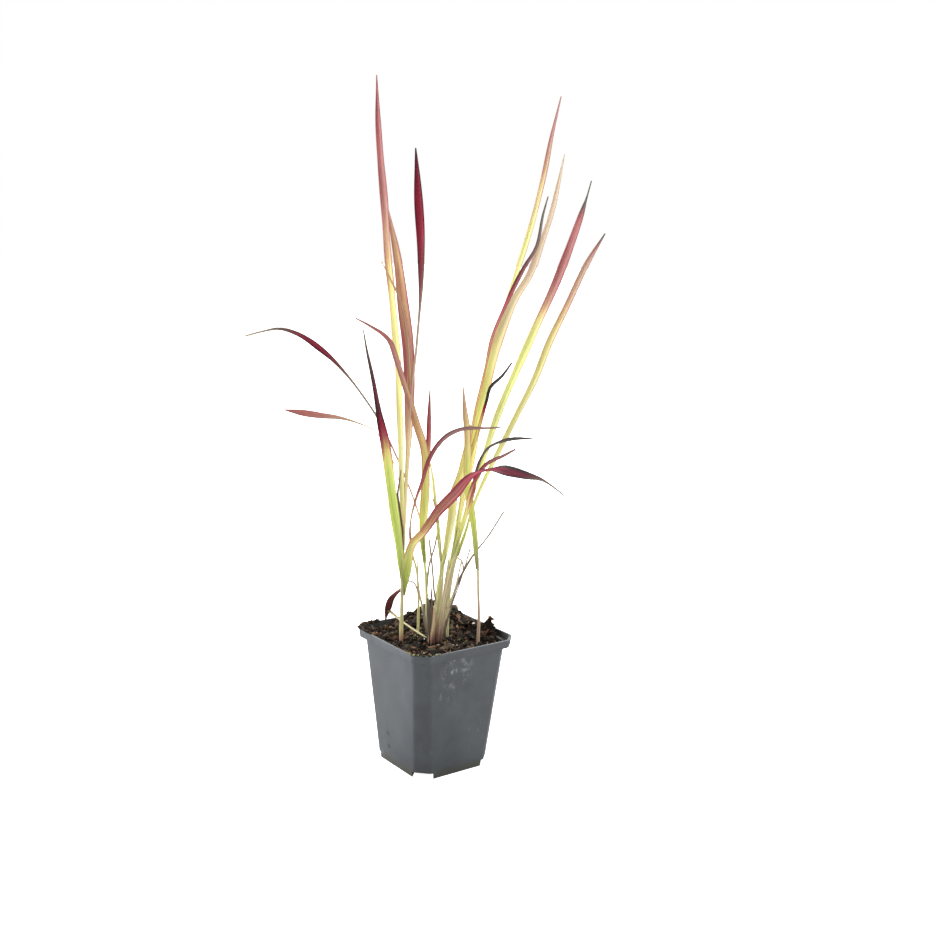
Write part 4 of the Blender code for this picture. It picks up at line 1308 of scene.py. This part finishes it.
tiller("rear_tiller", [
    stem("rear_stem",
        sunk(0, 21, [(1, 21, 126), (3, 20, 139), (6, 20, 154)]),
        radii=[1.1, 1.1, 1.0, 0.8],
        ripe=[0.1, 0.15, 0.2],
        dry=[0.5, 0.5, 0.5]),
    blade("rear_pale",
        [(3, 20, 137), (8, 21, 166), (11, 22, 185), (12, 23, 200), (17, 25, 215), (20, 28, 230),
         (23, 32, 252)],
        widths=[2, 4.5, 6.5, 7.5, 7.5, 5.5, 0.8],
        turns=[30, 30, 30, 28, 25, 25, 30],
        ripe=[0.15, 0.25, 0.3, 0.32, 0.36, 0.5],
        dry=[0.5, 0.5, 0.5, 0.3, 0.2, 0.3]),
])

# %% [markdown]
# Three tillers lean to the right and carry the tallest leaves. Most are yellow at the root and pinkish and
# dry towards the tip.

# %% Tall tillers
tiller("tall_tiller", [
    stem("tall_stem",
        sunk(4, 9, [(6, 9, 122), (9, 11, 141), (12, 12, 160), (15, 14, 182)]),
        radii=[1.5, 1.5, 1.4, 1.2, 1.0],
        ripe=[0.03, 0.06, 0.12, 0.2],
        dry=[0.5, 0.4, 0.3, 0.2]),
    blade("tall_edge",
        [(12, 12, 156), (18, 12, 199), (22, 12, 240), (26, 12, 266), (32, 13, 296), (36, 14, 318),
         (44, 16, 339), (51, 18, 355), (59, 20, 371), (66, 22, 383), (71, 25, 409), (74, 26, 421)],
        widths=[1.8, 2, 2, 2, 2, 2, 2.2, 2.6, 3.2, 4.2, 3.4, 2.4, 0.8],
        turns=[55, 55, 55, 55, 55, 50, 45, 40, 40, 35],
        ripe=[0.25, 0.3, 0.34, 0.38, 0.42, 0.46, 0.5, 0.55, 0.64, 0.8, 0.88, 0.98, 1],
        dry=[0.4, 0.3, 0.3, 0.3, 0.2, 0.1, 0.05, 0.05, 0.05, 0.1, 0.2, 0.25, 0.3]),
    blade("tall_reach",
        [(13, 13, 165), (20, 22, 200), (27, 32, 237), (37, 43, 281), (46, 54, 331), (55, 61, 363),
         (66, 69, 400), (76, 79, 445), (80, 84, 468), (86, 90, 497)],
        widths=[2.5, 3.6, 4.4, 4.6, 5, 5.2, 5.2, 4.6, 0.8],
        turns=[50, 52, 52, 52, 48, 45, 42, 45, 40],
        ripe=[0.2, 0.27, 0.3, 0.33, 0.34, 0.3, 0.3, 0.34, 0.44, 0.6, 0.72],
        dry=[0.3, 0.2, 0.1, 0.1, 0.2, 0.3, 0.3, 0.3, 0.35, 0.4, 0.4]),
    blade("tall_wide",
        [(13, 13, 164), (18, 18, 197), (24, 23, 227), (28, 28, 258), (33, 32, 279), (38, 36, 301),
         (45, 41, 323), (54, 46, 345), (65, 51, 364), (73, 57, 386), (80, 63, 408), (85, 69, 431),
         (89, 74, 454)],
        widths=[3, 5, 7, 8.5, 9, 8.2, 7, 5, 0.8],
        turns=[30, 28, 22, 20, 30, 40, 45, 50, 45],
        ripe=[0.2, 0.28, 0.33, 0.35, 0.36, 0.36, 0.4, 0.5, 0.55, 0.52, 0.45],
        dry=[0.3, 0.2, 0.1, 0.05, 0.1, 0.4, 0.75, 0.8, 0.8, 0.85, 0.9]),
    blade("tall_bent",
        [(21, 12, 226), (27, 10, 248), (31, 8, 264), (34, 4, 277), (35, 2, 283), (44, -4, 294),
         (50, -9, 304)],
        widths=[1.5, 2, 2.2, 2.4, 2.4, 1.2],
        turns=[30, 25, 20, 30, 30, 30],
        ripe=[0.3, 0.33, 0.38, 0.5, 0.95, 1, 1, 1],
        dry=[0.3, 0.2, 0.1, 0, 0, 0, 0, 0.1]),
    stem("tall_hook",
        [(10, 11, 146), (13, 8, 154), (16, 5, 156), (19, 2, 154), (20, 0, 147)],
        radii=[0.75, 0.7, 0.7, 0.65, 0.6],
        ripe=[0.96, 0.96],
        dry=[0.6, 0.75]),
])
tiller("broad_tiller", [
    stem("broad_stem",
        sunk(4, -8, [(7, -9, 128), (10, -10, 147), (13, -11, 165), (16, -12, 181)]),
        radii=[1.3, 1.3, 1.1, 1.0, 0.8],
        ripe=[0.03, 0.1, 0.15, 0.2],
        dry=[0.5, 0.4, 0.3, 0.2]),
    blade("broad_leaf",
        [(12, -11, 160), (21, -14, 197), (31, -16, 231), (38, -17, 257), (51, -18, 293), (66, -18, 330),
         (80, -20, 365), (90, -22, 395), (96, -24, 418), (99, -25, 431)],
        widths=[2.5, 3.2, 3.9, 4.4, 4.8, 5.2, 5.5, 5.8, 6.1, 6.4, 6.6, 6.8, 7, 7.2, 7.3, 7.4, 7.5, 7.6,
                7.7, 7.8, 7.8, 7.6, 5.6, 1.4, 0.8],
        turns=[35, 45, 48, 45, 42, 42, 42, 50, 45],
        ripe=[0.15, 0.21, 0.26, 0.27, 0.28, 0.28, 0.27, 0.27, 0.27, 0.28, 0.29, 0.3, 0.31, 0.38, 0.56,
              0.64, 0.67, 0.68, 0.69, 0.98, 1],
        dry=[0.3, 0.1, 0.1, 0.2, 0.3, 0.3, 0.25, 0.15, 0.25, 0.3, 0.25, 0.25, 0.2, 0.2]),
    blade("broad_arch",
        [(14, -11, 169), (20, -17, 190), (25, -22, 212), (26, -26, 225), (29, -29, 237), (34, -33, 246),
         (43, -38, 252), (53, -43, 255), (64, -48, 256)],
        widths=[1.5, 2, 2.5, 3, 2.6, 2.2, 2.2, 2.8, 0.9],
        turns=[50, 50, 45, 40, 35, 35, 35, 35, 35],
        ripe=[0.2, 0.28, 0.34, 0.5, 0.76, 0.88, 0.97, 1, 1, 1],
        dry=[0.4, 0.3, 0.2, 0.1, 0.1, 0.1, 0.15, 0.1, 0.05, 0.05]),
    blade("broad_point",
        [(14, -11, 167), (19, -22, 191), (22, -29, 211), (29, -37, 230), (35, -42, 238), (42, -46, 242),
         (52, -52, 249)],
        widths=[1.5, 2, 2.5, 2.8, 3.4, 3.0, 1.4],
        turns=[50, 50, 40, 35, 30, 35, 35],
        ripe=[0.2, 0.25, 0.3, 0.36, 0.5, 0.74, 0.82, 0.84, 0.84],
        dry=[0.4, 0.2, 0.1, 0.1, 0.1, 0.1, 0.1, 0.2, 0.3]),
])
tiller("slim_tiller", [
    stem("slim_stem",
        sunk(9, -2, [(10, -3, 130), (13, -4, 153), (17, -4, 170)]),
        radii=[1.1, 1.1, 0.9, 0.8],
        ripe=[0.05, 0.1, 0.2],
        dry=[0.5, 0.4, 0.3]),
    blade("slim_leaf",
        [(15, -4, 160), (21, -3, 179), (26, -2, 197), (35, 0, 220), (44, 1, 239), (56, 1, 265),
         (68, 0, 292), (77, -2, 318), (88, -4, 344), (101, -6, 375), (112, -9, 396)],
        widths=[1.8, 2.6, 3.6, 4.4, 5, 5.6, 6, 6, 6, 5.6, 4.4, 0.8],
        turns=[50, 50, 45, 42, 38, 35, 35, 35, 38],
        ripe=[0.1, 0.22, 0.27, 0.3, 0.29, 0.3, 0.31, 0.33, 0.36, 0.46, 0.56, 0.58, 1],
        dry=[0.4, 0.3, 0.3, 0.35, 0.4, 0.4, 0.4, 0.4, 0.4, 0.45, 0.6, 0.6, 0.1]),
])

# %% [markdown]
# One fresh tiller stands alone at the pot's right corner, with a single broad leaf.

# %% Right tiller
tiller("right_tiller", [
    stem("right_stem",
        sunk(32, -8, [(32, -8, 116), (31, -8, 135), (30, -8, 160)]),
        radii=[1.2, 1.2, 1.0, 0.9],
        ripe=[0.66, 0.6, 0.2],
        dry=[0.75, 0.85, 0.6]),
    blade("right_leaf",
        [(30, -8, 151), (26, -8, 188), (22, -7, 210), (21, -6, 232), (20, -4, 254), (18, -2, 268),
         (16, 1, 285)],
        widths=[2.2, 4, 5.8, 7, 6.5, 5, 0.8],
        turns=[20, 25, 28, 35, 35, 40, 35],
        ripe=[0.05, 0.16, 0.22, 0.25, 0.3, 0.34, 0.4, 0.48, 0.55],
        dry=[0.6, 0.3, 0.15, 0.1, 0.1, 0.2, 0.3, 0.5, 0.6]),
])

# %% [markdown]
# Last year's stalks are bare straws. One leans out at the back, two are broken stubs at the crown and one
# lies across the soil.

# %% Dry stalk
tiller("dry_culm", [
    stem("culm_stem",
        sunk(9, 17, [(14, 18, 126), (19, 20, 139), (27, 23, 153), (38, 27, 167), (50, 32, 186)]),
        radii=[0.9, 0.9, 0.85, 0.95, 1.0, 0.7, 0.65, 0.65],
        ripe=[0.97, 0.98, 0.98, 1, 1],
        dry=[0.5, 0.4, 0.2, 0.5, 0.5, 0.45]),
], "straw")

# %% [markdown]
# Old sheaths and broken leaf bases fan out of the crown, brown, rose and grey. They are short blades that
# stay half rolled. Each row has a name, width, ripeness and dryness, and the path from the soil up.

# %% Sheaths of the crown
FAN = [
    ("fan_long", 2.6, 0.34, 0.75,
     [(1, -17, 95), (4, -18, 106), (7, -18, 127), (11, -18, 147), (14, -18, 167)]),
    ("fan_tall", 2.4, 0.4, 0.8,
     [(0, -15, 95), (1, -16, 104), (5, -16, 125), (7, -16, 145), (9, -16, 163)]),
    ("fan_olive", 2.8, 0.15, 0.6,
     [(-2, -13, 95), (-1, -14, 104), (2, -14, 120), (4, -14, 137), (5, -14, 153)]),
    ("fan_brown", 3.4, 0.99, 0.3,
     [(-3, -16, 95), (-3, -17, 102), (-5, -17, 118), (-6, -17, 131)]),
    ("fan_rose", 3.0, 0.98, 0.5,
     [(-5, -14, 95), (-5, -15, 103), (-8, -15, 115), (-9, -15, 126)]),
    ("fan_tan", 3.6, 0.45, 0.6,
     [(-2, -19, 95), (-2, -20, 103), (-1, -20, 116), (-1, -20, 126)]),
    ("fan_pale", 1.8, 0.36, 0.85,
     [(3, -18, 95), (4, -19, 105), (8, -19, 121), (14, -19, 140), (18, -19, 161)]),
    ("fan_far", 1.0, 0.9, 0.45,
     [(4, -11, 95), (6, -12, 102), (11, -12, 122), (18, -12, 144), (24, -12, 168)]),
    ("fan_grey", 1.6, 0.3, 0.8,
     [(-4, -11, 95), (-5, -12, 104), (-9, -12, 119), (-13, -12, 139), (-14, -12, 157)]),
    ("fan_red", 2.2, 0.97, 0.35,
     [(-2, -11, 95), (-2, -12, 102), (-3, -12, 114), (-3, -12, 128), (-4, -12, 140)]),
]
FOOT_RIPE = 0.97
FOOT_DRY = 0.4

sheaths = []
for name, width, ripe, dry, points in FAN:
    turn = 120 * own_number(name) - 60
    sheaths.append(blade(name, points, widths=[width, width, width * 0.8, 0.8], turns=[turn, turn * 0.5],
                         ripe=[FOOT_RIPE, ripe, ripe, ripe], dry=[FOOT_DRY, dry, dry, dry], clasp=0.5))
finish_piece(join("crown_sheaths", sheaths), LEAF, "straw")

# %% [markdown]
# The straw that lies across the soil is a dead blade, flat and almost on edge to the camera, with its end
# against the crown. The two stubs were cut off short and have faded to tan.

# %% Straw and stubs
straw = blade("straw_blade",
    [(-35.5, 12, 112), (-31, 6, 110.6), (-24, -5, 108.4), (-14.5, -17, 106), (-6.5, -25, 103.6)],
    widths=[1.2, 1.8, 2.0, 2.0, 1.4],
    turns=[70, 70, 70, 70, 70],
    ripe=[0.1, 0.3, 0.2],
    dry=[0.8, 0.7, 0.6])
tiller("fallen_straw", [straw], "straw")


def dry_stub(name, x, y, path, radii):
    stalk = stem(name + "_stalk", sunk(x, y, path), radii, ripe=[0.3, 0.45], dry=[0.7, 0.8])
    return tiller(name, [stalk], "straw")


dry_stub("dry_stub_left", -4, -14, [(-4, -14, 112), (-5, -13, 122), (-6, -12, 133)],
         [1.2, 1.2, 1.1, 0.8, 0.5])
dry_stub("dry_stub_right", 3, -16, [(6, -17, 128), (10, -18, 150), (13, -19, 164)],
         [1.4, 1.4, 1.3, 1.0, 0.6])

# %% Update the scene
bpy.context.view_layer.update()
